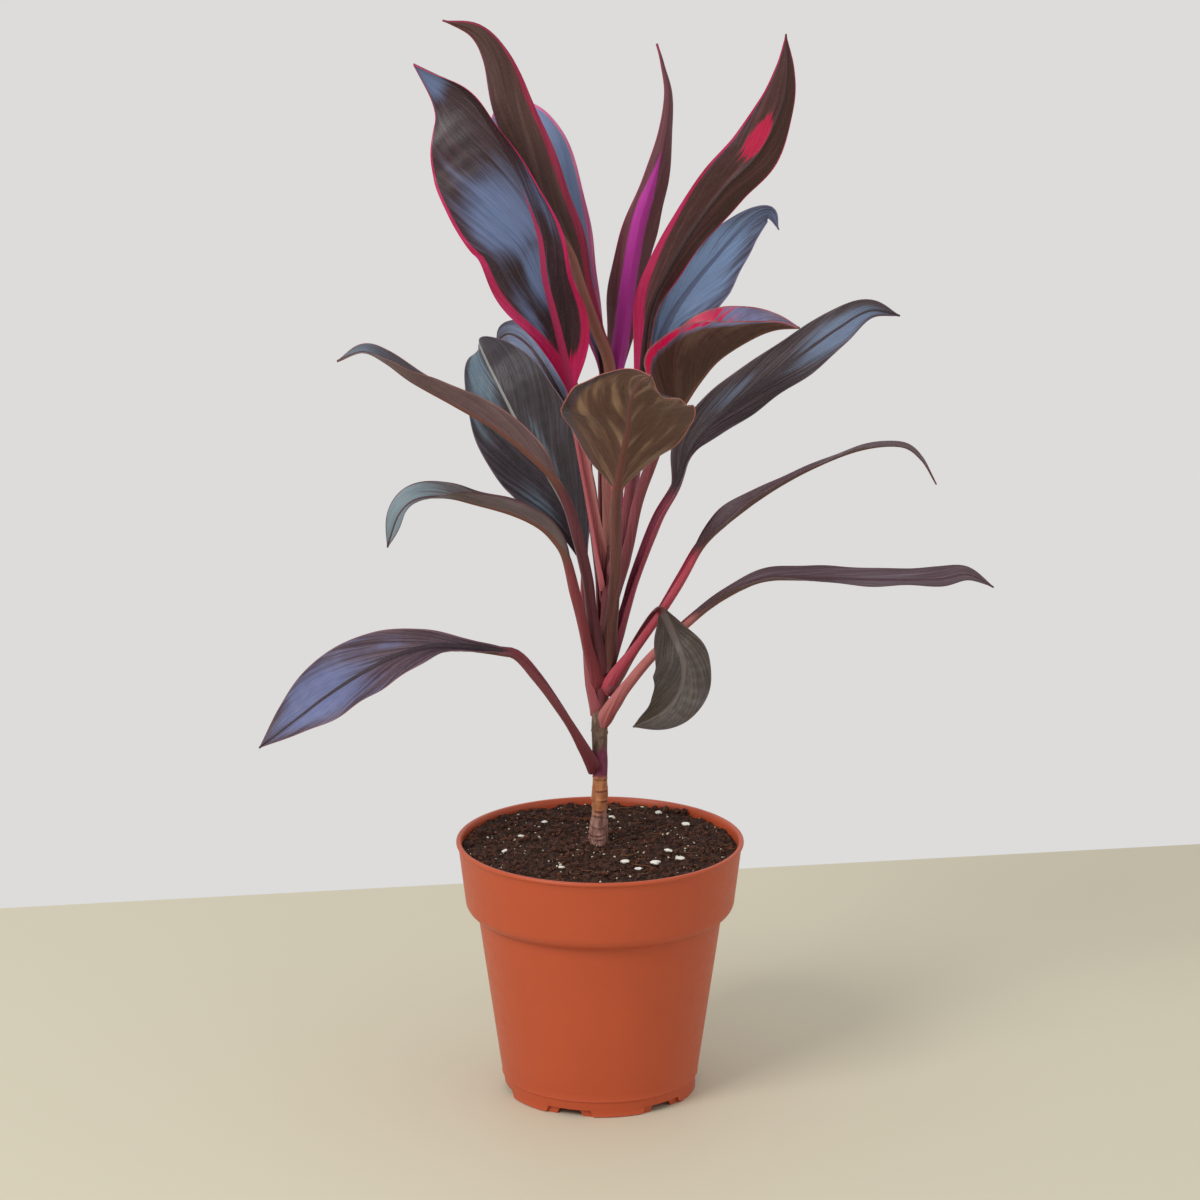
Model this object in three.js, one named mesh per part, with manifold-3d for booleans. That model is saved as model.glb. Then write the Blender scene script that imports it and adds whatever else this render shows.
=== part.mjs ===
// Potted cordyline: a young ti plant with red-margined leaves in a six-inch nursery pot.
// Millimetres, +Z up. The pot stands on z = 0 with its axis on the Z axis, and +Y is the back.
import * as THREE from 'three';
import { mergeVertices } from 'three/addons/utils/BufferGeometryUtils.js';
import Module from 'manifold-3d';

const wasm = await Module();
wasm.setup();

// ---------- driving dimensions ----------
const POT = {
  height: 138, rimRadius: 76.2, baseRadius: 51, wall: 1.8, lipHeight: 2.2, lipOverhang: 0.8,
  collarDrop: 32, collarStep: 6.5, floorBottom: 4.5, floorThick: 2.2, footWidth: 4.2, bossRadius: 9,
  notches: 6, notchWidth: 18, notchHeight: 4, firstNotch: -109, drainRadius: 4, drainRing: 34,
};
const GAP = 0.35;            // clearance kept between touching pieces
const SLIVER = 0.02;         // detail smaller than this, left where pieces were cut, is merged away
const SOIL_LEVEL = 134;
const SOCKET_DEPTH = 34;     // how far the stem goes down into the soil
const ROUND_STEPS = 48;      // facets around the pot
const LEAF = { blade: 0.8, petiole: 1.8, petioleSteps: 7, bladeSteps: 11, halfSteps: 2 };

const COLOUR = {
  terracotta: 0xb4532f, peat: 0x2c1c14, bark: 0x8a6a58, maroon: 0x4a2430,
  blueLeaf: 0x4c4a60, brownLeaf: 0x4a3226, crimson: 0x9c1846, root: 0xc9a77e, perlite: 0xe8e4da,
};

// ---------- solids ----------
function solidOf(geometry) {
  const bare = geometry.clone();
  bare.deleteAttribute('normal');
  bare.deleteAttribute('uv');
  const merged = mergeVertices(bare, 1e-4);
  return new wasm.Manifold(new wasm.Mesh({
    numProp: 3,
    vertProperties: new Float32Array(merged.attributes.position.array),
    triVerts: new Uint32Array(merged.index.array),
  }));
}

function geometryOf(solid) {
  const mesh = solid.getMesh();
  const geometry = new THREE.BufferGeometry();
  geometry.setAttribute('position', new THREE.BufferAttribute(mesh.vertProperties, 3));
  geometry.setIndex(new THREE.BufferAttribute(mesh.triVerts, 1));
  return geometry;
}

const joined = (solids) => solids.reduce((sum, solid) => sum.add(solid));

// The biggest separate piece of a cut solid: the crumbs that a cut leaves are dropped.
function largestPiece(solid) {
  return solid.decompose().reduce((best, piece) => (piece.volume() > best.volume() ? piece : best));
}

function boxesMeet(a, b) {
  const [p, q] = [a.boundingBox(), b.boundingBox()];
  return [0, 1, 2].every((axis) => p.min[axis] <= q.max[axis] && q.min[axis] <= p.max[axis]);
}

function turned(points, steps = ROUND_STEPS) {
  const profile = points.map(([radius, height]) => new THREE.Vector2(radius, height));
  return new THREE.LatheGeometry(profile, steps).rotateX(Math.PI / 2);
}

const rod = (radius, low, high, x = 0, y = 0) => solidOf(
  new THREE.CylinderGeometry(radius, radius, high - low, 20)
    .rotateX(Math.PI / 2).translate(x, y, (low + high) / 2));

// A closed skin over a row of equal rings of points. Both halves of a ring are cut along the same
// diagonals, so that a thin twisted blade's two sides can't cross. Its ends are strips from one
// half of the ring to the other, which suits a folded section as well as a round one.
function lofted(rings) {
  const count = rings[0].length;
  const index = [];
  for (let i = 0; i < rings.length - 1; i++) {
    for (let j = 0; j < count; j++) {
      const [a, b] = [i * count + j, i * count + (j + 1) % count];
      if (j < count / 2) index.push(a, b, a + count, b, b + count, a + count);
      else index.push(a, b, b + count, a, b + count, a + count);
    }
  }
  const last = (rings.length - 1) * count;
  for (let j = 0; j < count / 2 - 1; j++) {
    const [a, b, c, d] = [j, j + 1, count - 2 - j, count - 1 - j];
    index.push(a, c, b, a, d, c);
    index.push(last + a, last + b, last + c, last + a, last + c, last + d);
  }
  const geometry = new THREE.BufferGeometry().setFromPoints(rings.flat());
  geometry.setIndex(index);
  return geometry;
}

// A round bar along a curve with a radius for each step; extra fattens it all round.
function barAlong(curve, bareRadii, sides, extra = 0) {
  const rings = [];
  const radii = bareRadii.map((radius) => radius + extra);
  const steps = radii.length - 1;
  for (let i = 0; i <= steps; i++) {
    const along = curve.getTangentAt(i / steps);
    const overrun = i === 0 ? -extra : (i === steps) * extra;
    const centre = curve.getPointAt(i / steps).addScaledVector(along, overrun);
    const across = new THREE.Vector3(0, -1, 0).cross(along).normalize();
    const up = new THREE.Vector3().crossVectors(along, across);
    rings.push(Array.from({ length: sides }, (_, j) => {
      const angle = (j / sides) * 2 * Math.PI;
      return centre.clone()
        .addScaledVector(across, radii[i] * Math.cos(angle))
        .addScaledVector(up, radii[i] * Math.sin(angle));
    }));
  }
  return lofted(rings);
}

const curveThrough = (points) => new THREE.CatmullRomCurve3(
  points.map((point) => new THREE.Vector3(...point)), false, 'catmullrom', 0.5);

// ---------- pot ----------
const collarBottom = POT.height - POT.collarDrop;
const bodyTop = collarBottom - 7;
const collarFlare = 3.9;

// Outside radius of the pot at a height.
function potRadius(height) {
  if (height <= bodyTop) {
    const bodyRadius = POT.rimRadius - POT.lipOverhang - collarFlare - POT.collarStep;
    return THREE.MathUtils.mapLinear(height, 0, bodyTop, POT.baseRadius, bodyRadius);
  }
  if (height < collarBottom) {
    const start = potRadius(bodyTop);
    const turn = (height - bodyTop) / (collarBottom - bodyTop);
    return start + POT.collarStep * Math.sqrt(1 - (1 - turn) ** 2);
  }
  return THREE.MathUtils.mapLinear(height, collarBottom, POT.height,
    potRadius(bodyTop) + POT.collarStep, POT.rimRadius - POT.lipOverhang);
}
const innerRadius = (height) => potRadius(height) - POT.wall;

function makePot() {
  const { height, rimRadius, lipHeight, lipOverhang, footWidth, floorBottom, floorThick } = POT;
  const undercut = [0.15, 0.5, 0.85].map((part) => bodyTop + part * (collarBottom - bodyTop));
  const outside = [0, 9, 50, bodyTop, ...undercut, collarBottom, height - lipHeight - 1];
  const inside = [height, collarBottom + 3, bodyTop + 3, bodyTop - 3, 50, floorBottom + floorThick];
  const shell = solidOf(turned([
    [0, 0], [POT.bossRadius, 0], [POT.bossRadius, floorBottom],
    [POT.baseRadius - footWidth, floorBottom], [POT.baseRadius - footWidth, 0],
    ...outside.map((z) => [potRadius(z), z]),
    [rimRadius, height - lipHeight], [rimRadius, height - 0.6], [rimRadius - 0.6, height],
    ...inside.map((z) => [innerRadius(z), z]),
    [0, floorBottom + floorThick],
  ]));
  const cuts = [];
  for (let i = 0; i < POT.notches; i++) {
    const angle = THREE.MathUtils.degToRad(POT.firstNotch + (i * 360) / POT.notches);
    const [width, tall] = [POT.notchWidth, POT.notchHeight];
    const outline = new THREE.Shape([[-width / 2, -1], [width / 2, -1], [width / 2 - 2, tall],
      [2 - width / 2, tall]].map(([x, y]) => new THREE.Vector2(x, y)));
    const notch = new THREE.ExtrudeGeometry(outline, { depth: 12, bevelEnabled: false });
    notch.rotateX(Math.PI / 2).rotateZ(Math.PI / 2);
    notch.translate(POT.baseRadius - 9, 0, 0).rotateZ(angle);
    cuts.push(solidOf(notch));
    const drain = angle + Math.PI / POT.notches;
    cuts.push(rod(POT.drainRadius, 0, 12, POT.drainRing * Math.cos(drain),
      POT.drainRing * Math.sin(drain)));
  }
  return shell.subtract(joined(cuts));
}

// ---------- stem and roots ----------
const STEM_PATH = curveThrough([
  [-1, 6, 97], [-1, 6, 131], [0, 4, 166], [0, 3, 205], [3, 4, 246], [5, 7, 280], [5, 8, 296]]);
const STEM_RADII = [3.6, 4.6, 5.2, 5.5, 5.3, 4.9, 4.1, 4.3, 3.9, 4.2, 4.0, 4.2, 4.3, 4.1, 4.2, 4.0,
  4.0, 3.8, 3.6, 3.4, 3.0, 2.4, 1.2];
const stemSolid = (extra = 0) => solidOf(barAlong(STEM_PATH, STEM_RADII, 12, extra));

// Roots fan out and down from the foot of the stem.
const ROOT_COUNT = 6;
function makeRoots(extra = 0) {
  const foot = STEM_PATH.getPoint(0);
  const crown = solidOf(new THREE.SphereGeometry(3.4 + extra, 10, 8)
    .rotateX(Math.PI / 2).translate(foot.x, foot.y, foot.z - 4.2));
  const strands = Array.from({ length: ROOT_COUNT }, (_, i) => {
    const angle = (i / ROOT_COUNT) * 2 * Math.PI + 0.4;
    const [reach, depth] = [34 - 4 * (i % 3), 30 + 14 * (i % 3)];
    const step = (out, down) => [
      foot.x + out * reach * Math.cos(angle + out * 0.5),
      foot.y + out * reach * Math.sin(angle + out * 0.5), foot.z - 4.2 - down * depth];
    const curve = curveThrough([step(0.02, 0), step(0.4, 0.2), step(0.75, 0.6), step(1, 1)]);
    return solidOf(barAlong(curve, [1.9, 1.6, 1.4, 1.2, 0.9], 6, extra));
  });
  return joined([crown, ...strands]);
}

// ---------- soil and perlite ----------
function makeSoil(stem, roots) {
  const low = POT.floorBottom + POT.floorThick + GAP;
  const levels = [low, 50, bodyTop - 3, bodyTop + 3, collarBottom + 3, SOIL_LEVEL];
  const geometry = turned([[0, low], ...levels.map((z) => [innerRadius(z) - GAP, z]),
    [0, SOIL_LEVEL]], 32);
  const mouth = rod(STEM_RADII[0] + 1.6, STEM_PATH.getPoint(0).z - 4, SOIL_LEVEL - SOCKET_DEPTH + 3,
    STEM_PATH.getPoint(0).x, STEM_PATH.getPoint(0).y);
  return solidOf(geometry).subtract(joined([stem, roots, mouth]));
}

// The larger grains of perlite on the soil: x, y and size of each.
const PERLITE = [[13, -31, 3], [29, -33, 3.4], [36, -12, 2.6], [42, -25, 2.8], [32, 55, 2.4],
  [46, 34, 2.6], [20, -42, 2.2], [-42, 14, 2], [-30, 38, 2.2], [-20, -40, 2], [-50, -12, 2.2],
  [6, 48, 2]];
function makeGrain([x, y, size], turn) {
  const grain = new THREE.IcosahedronGeometry(size, 0);
  grain.rotateX(turn).rotateY(2 * turn).scale(1, 0.8, 0.4);
  grain.computeBoundingBox();
  return solidOf(grain.translate(x, y, SOIL_LEVEL - grain.boundingBox.min.z + GAP));
}

// ---------- leaves ----------
// path: from the stem to the tip along the midrib; joint: where on it the blade starts.
// left, right: half widths at even steps along the blade.
// roll, fold: degrees at the stem, blade foot, blade middle and tip. Roll 0 turns the upper side
// to the front and 180 to the back; fold lifts both halves towards the upper side.
const LEAVES = [
  { name: 'leaf_low_left', colour: 'blueLeaf', joint: 6,
    path: [[-5, 1, 174], [-9, -5, 188], [-15, -10, 203], [-23, -14, 217], [-33, -17, 232],
      [-43, -20, 244], [-52, -23, 247], [-71, -28, 251], [-89, -32, 252], [-107, -37, 248],
      [-124, -42, 240], [-141, -48, 230], [-158, -54, 218], [-175, -60, 206]],
    left: [3, 8, 13, 17, 18, 15, 8, 0], right: [3, 5, 10, 16, 19, 17, 10, 0],
    roll: [125, 60, 40, 30], fold: [45, 45, 20, 10] },
  { name: 'leaf_low_right', colour: 'brownLeaf', joint: 4,
    path: [[2, -2, 200], [7, -6, 211], [15, -8, 225], [30, -9, 244], [52, -8, 264], [68, -7, 275],
      [86, -6, 282], [109, -5, 282], [130, -3, 281], [153, -1, 280], [177, 1, 280], [192, 2, 282],
      [206, 3, 275]],
    left: [3, 4, 7, 8, 8, 8, 7, 0], right: [3, 6, 8, 8, 8, 8, 7, 0],
    roll: [-165, -75, -70, -60], fold: [45, 50, 15, 10] },
  { name: 'leaf_small_drooping', colour: 'brownLeaf', joint: 4,
    path: [[6, 1, 216], [13, 2, 232], [22, 0, 249], [30, -6, 263], [33, -18, 266], [39, -34, 256],
      [43, -40, 245], [41, -44, 232], [32, -46, 221], [17, -46, 213]],
    left: [3, 7, 12, 15, 15, 12, 7, 0], right: [3, 8, 13, 16, 16, 13, 7, 0],
    roll: [-90, 0, 0, 0], fold: [45, 40, 20, 20] },
  { name: 'leaf_arched_left', colour: 'brownLeaf', joint: 4,
    path: [[-3, 1, 220], [-6, -7, 240], [-9, -18, 260], [-13, -28, 280], [-18, -38, 302],
      [-24, -42, 313], [-32, -46, 321], [-45, -50, 328], [-63, -54, 334], [-78, -57, 338],
      [-93, -59, 337], [-102, -60, 329], [-108, -60, 312]],
    left: [3, 7, 9, 9, 9, 9, 7, 0], right: [3, 7, 9, 9, 9, 9, 7, 0],
    roll: [125, 105, 100, 30], fold: [45, 60, 45, 10] },
  { name: 'leaf_thin_right', colour: 'brownLeaf', joint: 5,
    path: [[5, 0, 217], [11, -2, 231], [21, -3, 247], [32, -4, 264], [43, -5, 283], [52, -6, 299],
      [63, -7, 311], [85, -8, 328], [109, -9, 342], [134, -10, 352], [155, -11, 354],
      [166, -12, 347], [174, -13, 334]],
    left: [3, 8, 6, 4, 5, 6, 5, 0], right: [3, 8, 6, 4, 5, 6, 5, 0],
    roll: [-125, -60, -95, -90], fold: [45, 50, 10, 10] },
  { name: 'leaf_strap_left', colour: 'brownLeaf', joint: 5,
    path: [[-1, -1, 226], [-3, -6, 246], [-5, -12, 266], [-7, -21, 287], [-15, -32, 323],
      [-24, -40, 343], [-36, -44, 357], [-53, -49, 372], [-73, -54, 385], [-94, -59, 398],
      [-108, -62, 409], [-119, -63, 414], [-132, -62, 409]],
    left: [3, 9, 11, 11, 10, 9, 6, 0], right: [3, 8, 10, 10, 10, 9, 6, 0],
    roll: [135, 120, 115, 60], fold: [45, 60, 50, 25] },
  { name: 'leaf_long_right', colour: 'blueLeaf', joint: 5,
    path: [[6, 2, 228], [10, 5, 247], [14, 8, 263], [19, 11, 280], [30, 16, 308], [40, 20, 325],
      [46, 22, 343], [55, 24, 355], [76, 27, 372], [101, 31, 390], [124, 35, 406], [141, 38, 415],
      [157, 40, 412]],
    left: [3, 10, 13, 13, 12, 11, 8, 0], right: [3, 9, 13, 14, 14, 13, 8, 0],
    roll: [-75, -40, -30, -40], fold: [45, 40, 20, 20] },
  { name: 'leaf_broad_left', colour: 'blueLeaf', joint: 4,
    path: [[-4, 3, 205], [-6, 4, 228], [-7, 8, 252], [-8, 15, 270], [-9, 22, 285], [-18, 30, 310],
      [-27, 36, 326], [-36, 41, 340], [-44, 46, 354], [-52, 52, 369],
      [-59, 61, 381], [-63, 73, 387], [-65, 86, 388]],
    left: [3, 13, 22, 25, 24, 19, 11, 0], right: [3, 12, 21, 27, 29, 25, 14, 0],
    roll: [95, 10, 0, 0], fold: [45, 40, 20, 10] },
  { name: 'leaf_back_left', colour: 'blueLeaf', joint: 3,
    path: [[3, 9, 250], [1, 20, 270], [-2, 31, 295], [-6, 42, 326], [-15, 54, 351],
      [-25, 66, 371], [-37, 78, 387], [-48, 90, 392], [-56, 100, 386]],
    left: [3, 10, 15, 17, 17, 15, 10, 0], right: [3, 7, 11, 13, 14, 12, 8, 0],
    roll: [10, 0, 0, 0], fold: [45, 40, 20, 10] },
  { name: 'leaf_front', colour: 'brownLeaf', joint: 5,
    path: [[4, -2, 230], [5, -5, 250], [7, -10, 270], [8, -17, 292], [8, -26, 316], [9, -40, 338],
      [11, -52, 355], [14, -72, 376], [15, -96, 395], [19, -120, 410], [25, -140, 418]],
    left: [4, 20, 31, 34, 31, 24, 15, 0], right: [4, 25, 35, 35, 31, 23, 13, 0],
    roll: [180, 180, 180, 180], fold: [45, 30, 10, -5] },
  { name: 'leaf_back_right', colour: 'blueLeaf', joint: 3,
    path: [[7, 10, 264], [12, 18, 295], [19, 26, 335], [29, 32, 390], [36, 36, 410],
      [47, 42, 426], [61, 52, 441], [76, 64, 455], [89, 72, 461], [94, 66, 453]],
    left: [3, 8, 12, 13, 12, 9, 5, 0], right: [3, 14, 20, 19, 15, 11, 6, 0],
    roll: [-30, -20, -10, 0], fold: [45, 45, 15, 10] },
  { name: 'leaf_curled_right', colour: 'brownLeaf', joint: 3,
    path: [[9, 4, 268], [15, -6, 298], [21, -16, 330], [35, -24, 368], [42, -26, 379],
      [50, -30, 392], [60, -36, 405], [76, -44, 417], [88, -50, 423], [100, -56, 425]],
    left: [4, 19, 29, 32, 28, 20, 10, 0], right: [4, 22, 33, 32, 25, 15, 7, 0],
    roll: [-110, -110, -105, -100], fold: [45, 75, 60, 45] },
  { name: 'leaf_back_upright', colour: 'blueLeaf', joint: 3,
    path: [[3, 11, 262], [2, 19, 300], [2, 25, 342], [2, 28, 382], [-1, 32, 406], [-6, 38, 431],
      [-14, 46, 459], [-24, 56, 483], [-36, 70, 499], [-48, 90, 503], [-54, 106, 494]],
    left: [3, 9, 16, 19, 20, 19, 14, 0], right: [3, 4, 6, 9, 13, 17, 15, 0],
    roll: [20, 0, 0, 10], fold: [45, 50, 20, 10] },
  { name: 'leaf_big_left', colour: 'crimson', joint: 3,
    path: [[1, 9, 272], [-2, 6, 302], [-9, 2, 347], [-15, -4, 383], [-22, -9, 416],
      [-28, -12, 441], [-31, -13, 464], [-41, -12, 490], [-54, -8, 515], [-71, 0, 536],
      [-95, 8, 548]],
    left: [3, 13, 27, 36, 40, 38, 24, 0], right: [3, 20, 22, 16, 13, 12, 8, 0],
    roll: [60, 0, -20, -50], fold: [45, 40, 25, 35] },
  { name: 'leaf_big_right', colour: 'maroon', joint: 3,
    path: [[9, 3, 278], [14, -3, 312], [18, -8, 350], [21, -10, 386], [25, -12, 423],
      [35, -16, 447], [47, -19, 468], [63, -22, 490], [80, -24, 508], [91, -26, 531],
      [94, -26, 550], [93, -24, 568]],
    left: [4, 6, 8, 12, 14, 11, 6, 0], right: [4, 7, 11, 12, 14, 15, 10, 0],
    roll: [-130, -165, -165, -170], fold: [45, 40, 15, 15] },
  { name: 'leaf_tall_left', colour: 'maroon', joint: 2,
    path: [[6, 12, 284], [4, 13, 332], [5, 9, 387], [-2, 6, 411], [-9, 4, 432],
      [-16, 6, 454], [-27, 10, 475], [-38, 16, 501], [-47, 24, 524], [-54, 32, 548],
      [-64, 38, 561], [-81, 42, 566]],
    left: [4, 5, 8, 13, 15, 13, 8, 0], right: [4, 7, 10, 11, 10, 9, 6, 0],
    roll: [170, 160, 170, 200], fold: [45, 50, 25, 20] },
  { name: 'leaf_narrow_upright', colour: 'crimson', joint: 2,
    path: [[9, 12, 288], [9, 15, 332], [8, 16, 378], [11, 14, 404], [15, 12, 436],
      [20, 12, 465], [27, 14, 488], [33, 18, 510], [35, 24, 530], [32, 30, 545],
      [29, 34, 555]],
    left: [4, 11, 14, 14, 12, 8, 3, 0], right: [4, 9, 12, 9, 6, 4, 2, 0],
    roll: [-150, -170, -170, -150], fold: [45, 50, 30, 30] },
];
const SHEATH = { grip: 7, neck: 3, length: 0.35 };   // half widths of the clasping foot and petiole

// Value at s, where -1 is the stem, 0 the blade foot and 1 the tip.
function alongLeaf([atStem, atFoot, atMiddle, atTip], s) {
  if (s < 0) return THREE.MathUtils.lerp(atFoot, atStem, -s);
  return s < 0.5 ? THREE.MathUtils.lerp(atFoot, atMiddle, 2 * s)
    : THREE.MathUtils.lerp(atMiddle, atTip, 2 * s - 1);
}

function halfWidth(widths, s) {
  if (s < 0) {
    const clasp = Math.max(0, (-s - 1 + SHEATH.length) / SHEATH.length);
    return SHEATH.neck + (SHEATH.grip - SHEATH.neck) * clasp;
  }
  const steps = new THREE.SplineCurve(widths.map((width, i) => new THREE.Vector2(i, width)));
  return Math.max(steps.getPoint(s).y, 0.4, SHEATH.neck * (1 - 4 * s));
}

// One leaf as a closed solid; extra fattens it to cut a clearance in its neighbours.
function leafSolid(leaf, extra = 0) {
  const curve = curveThrough(leaf.path);
  const lengths = curve.getLengths(240);
  const total = lengths[240];
  const foot = lengths[Math.round((leaf.joint / (leaf.path.length - 1)) * 240)] / total;
  const stations = [];
  for (let i = 0; i < LEAF.petioleSteps; i++) stations.push(i / LEAF.petioleSteps - 1);
  for (let i = 0; i <= LEAF.bladeSteps; i++) stations.push(i / LEAF.bladeSteps);
  const rings = stations.map((s) => {
    const where = s < 0 ? (s + 1) * foot : foot + s * (1 - foot);
    const middle = curve.getPointAt(where);
    const along = curve.getTangentAt(where);
    const front = new THREE.Vector3(0, -1, 0).projectOnPlane(along).normalize();
    const side = new THREE.Vector3().crossVectors(along, front);
    const roll = THREE.MathUtils.degToRad(alongLeaf(leaf.roll, s));
    const fold = THREE.MathUtils.degToRad(alongLeaf(leaf.fold, s));
    const up = front.clone().multiplyScalar(Math.cos(roll)).addScaledVector(side, Math.sin(roll));
    side.multiplyScalar(Math.cos(roll)).addScaledVector(front, -Math.sin(roll));
    const thick = THREE.MathUtils.lerp(LEAF.petiole, LEAF.blade, Math.min(1, Math.max(0, 1 + 4 * s)));
    const [upper, lower] = [[], []];
    for (let j = -LEAF.halfSteps; j <= LEAF.halfSteps; j++) {
      const part = Math.abs(j) / LEAF.halfSteps;
      const width = halfWidth(j < 0 ? leaf.left : leaf.right, s) * part + extra * part;
      const point = middle.clone()
        .addScaledVector(side, Math.sign(j) * width * Math.cos(fold))
        .addScaledVector(up, width * Math.sin(fold));
      const face = up.clone().multiplyScalar(Math.cos(fold))
        .addScaledVector(side, -Math.sign(j) * Math.sin(fold)).normalize();
      upper.push(point.clone().addScaledVector(face, thick / 2 + extra));
      lower.push(point.clone().addScaledVector(face, -thick / 2 - extra));
    }
    return [...upper, ...lower.reverse()];
  });
  const solid = solidOf(lofted(rings));
  if (solid.volume() > 0) return solid;
  return solidOf(lofted(rings.map((ring) => [...ring].reverse())));
}

// ---------- assembly ----------
const plant = new THREE.Group();
function addPiece(name, solid, color, roughness) {
  const material = new THREE.MeshStandardMaterial({ color, roughness, metalness: 0 });
  const mesh = new THREE.Mesh(geometryOf(solid), material);
  mesh.name = name;
  plant.add(mesh);
}

const stem = stemSolid();
addPiece('pot', makePot(), COLOUR.terracotta, 0.5);
addPiece('soil', makeSoil(stemSolid(GAP), makeRoots(GAP)), COLOUR.peat, 0.95);
PERLITE.forEach((grain, i) => addPiece(
  `perlite_${String(i + 1).padStart(2, '0')}`, makeGrain(grain, i), COLOUR.perlite, 0.9));
addPiece('roots', largestPiece(makeRoots().subtract(stemSolid(GAP))), COLOUR.root, 0.8);
addPiece('stem', stem, COLOUR.bark, 0.8);

// Each leaf is cut clear of the stem and of the leaves placed before it.
const cutters = [stemSolid(GAP)];
for (const leaf of LEAVES) {
  let solid = leafSolid(leaf);
  for (const cutter of cutters) {
    if (boxesMeet(solid, cutter)) solid = solid.subtract(cutter);
  }
  addPiece(leaf.name, largestPiece(solid.simplify(SLIVER)), COLOUR[leaf.colour], 0.45);
  cutters.push(leafSolid(leaf, GAP));
}

export default plant;
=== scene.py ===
"""Potted cordyline: fine meshes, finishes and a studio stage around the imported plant."""
import math
import random

import bmesh
import bpy
import numpy as np
from bpy.props import FloatProperty, FloatVectorProperty, IntProperty, PointerProperty
from mathutils import Matrix, Vector, noise


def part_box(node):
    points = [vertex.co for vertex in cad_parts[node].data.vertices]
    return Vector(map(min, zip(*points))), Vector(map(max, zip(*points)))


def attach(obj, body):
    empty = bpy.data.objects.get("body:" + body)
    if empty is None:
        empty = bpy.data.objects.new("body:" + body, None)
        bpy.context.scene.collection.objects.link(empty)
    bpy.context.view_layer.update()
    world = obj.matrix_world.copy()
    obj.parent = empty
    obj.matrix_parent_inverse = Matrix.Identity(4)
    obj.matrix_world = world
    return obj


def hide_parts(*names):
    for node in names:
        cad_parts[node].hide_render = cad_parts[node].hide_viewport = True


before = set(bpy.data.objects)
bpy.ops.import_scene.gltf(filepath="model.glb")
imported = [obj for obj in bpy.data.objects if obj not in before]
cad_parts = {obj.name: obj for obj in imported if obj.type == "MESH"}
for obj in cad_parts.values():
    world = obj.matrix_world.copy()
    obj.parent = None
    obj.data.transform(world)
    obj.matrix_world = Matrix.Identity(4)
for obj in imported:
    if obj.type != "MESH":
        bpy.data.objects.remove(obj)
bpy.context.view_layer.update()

bl_info = {
    "name": "Potted cordyline",
    "version": (1, 0, 0),
    "blender": (4, 5, 0),
    "location": "View3D > Sidebar > Cordyline",
    "description": "Builds a potted cordyline: pot, soil, perlite, stem, leaves and a stage",
    "category": "Object",
}

MM = 0.001
BODY = "root"
POT_LOW, POT_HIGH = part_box("pot")
SOIL_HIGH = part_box("soil")[1]


# ---------- colours ----------
def ink(code, alpha=1.0):
    """A colour written as a hex code, in linear light."""
    parts = [int(code[i:i + 2], 16) / 255 for i in (1, 3, 5)]
    linear = [p / 12.92 if p <= 0.04045 else ((p + 0.055) / 1.055) ** 2.4 for p in parts]
    return (*linear, alpha)


def toned(colour, factor):
    """A colour made darker or paler."""
    return tuple(c * factor for c in colour[:3]) + (1.0,)


# ---------- settings ----------
def length(name, description, default, low=0.0):
    """A length in metres that a user may change."""
    return FloatProperty(name=name, description=description, default=default, min=low,
                         subtype="DISTANCE", unit="LENGTH", precision=4)


def shade(name, description, code):
    """A colour that a user may change."""
    return FloatVectorProperty(name=name, description=description, default=ink(code),
                               size=4, min=0.0, max=1.0, subtype="COLOR")


class PotSettings(bpy.types.PropertyGroup):
    height: length("Height", "Height of the pot", POT_HIGH[2] - POT_LOW[2])
    rim_radius: length("Rim radius", "Outer radius of the lip", (POT_HIGH[0] - POT_LOW[0]) / 2)
    foot_radius: length("Foot radius", "Outer radius where the pot stands", 51.0 * MM)
    wall: length("Wall", "Thickness of the moulded wall", 1.8 * MM)
    collar: length("Collar", "Height of the collar under the lip", 32.0 * MM)
    colour: shade("Colour", "Colour of the moulded plastic", "#b64c28")
    roughness: FloatProperty(name="Roughness", description="How matt the plastic is",
                             default=0.42, min=0.0, max=1.0, subtype="FACTOR")


class SoilSettings(bpy.types.PropertyGroup):
    level: length("Level", "Height of the soil in the pot", SOIL_HIGH[2])
    clods: length("Clods", "How high the clods of soil stand", 3.6 * MM)
    crumbs: IntProperty(name="Crumbs", description="Number of loose crumbs of peat",
                        default=2600, min=0)
    fibres: IntProperty(name="Fibres", description="Number of loose fibres", default=150, min=0)
    specks: IntProperty(name="Specks", description="Number of small specks of perlite",
                        default=400, min=0)
    colour: shade("Peat", "Colour of the moist peat", "#382016")
    bark: shade("Bark", "Colour of the reddish bits in the peat", "#6a3a22")
    perlite: shade("Perlite", "Colour of the perlite", "#d8d0b8")


class StemSettings(bpy.types.PropertyGroup):
    scar_height: length("Scar height", "How far the leaf scars stand out", 0.45 * MM)
    foot: shade("Foot", "Greyish pink bark at the soil", "#a3786c")
    tan: shade("Tan", "Smooth tan bark above it", "#c08256")
    bark: shade("Bark", "Brown bark among the leaves", "#5d453a")


class LeafSettings(bpy.types.PropertyGroup):
    columns: IntProperty(name="Columns", description="Mesh columns in each half of a leaf",
                         default=13, min=6)
    rows: IntProperty(name="Rows", description="Mesh rows along a blade", default=84, min=16)
    ripple: length("Ripple", "Depth of the soft folds that run along the veins", 0.5 * MM)
    wave: length("Wave", "How far the margins wave", 1.4 * MM)
    roughness: FloatProperty(name="Roughness", description="How matt the waxy upper side is",
                             default=0.36, min=0.0, max=1.0, subtype="FACTOR")


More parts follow.
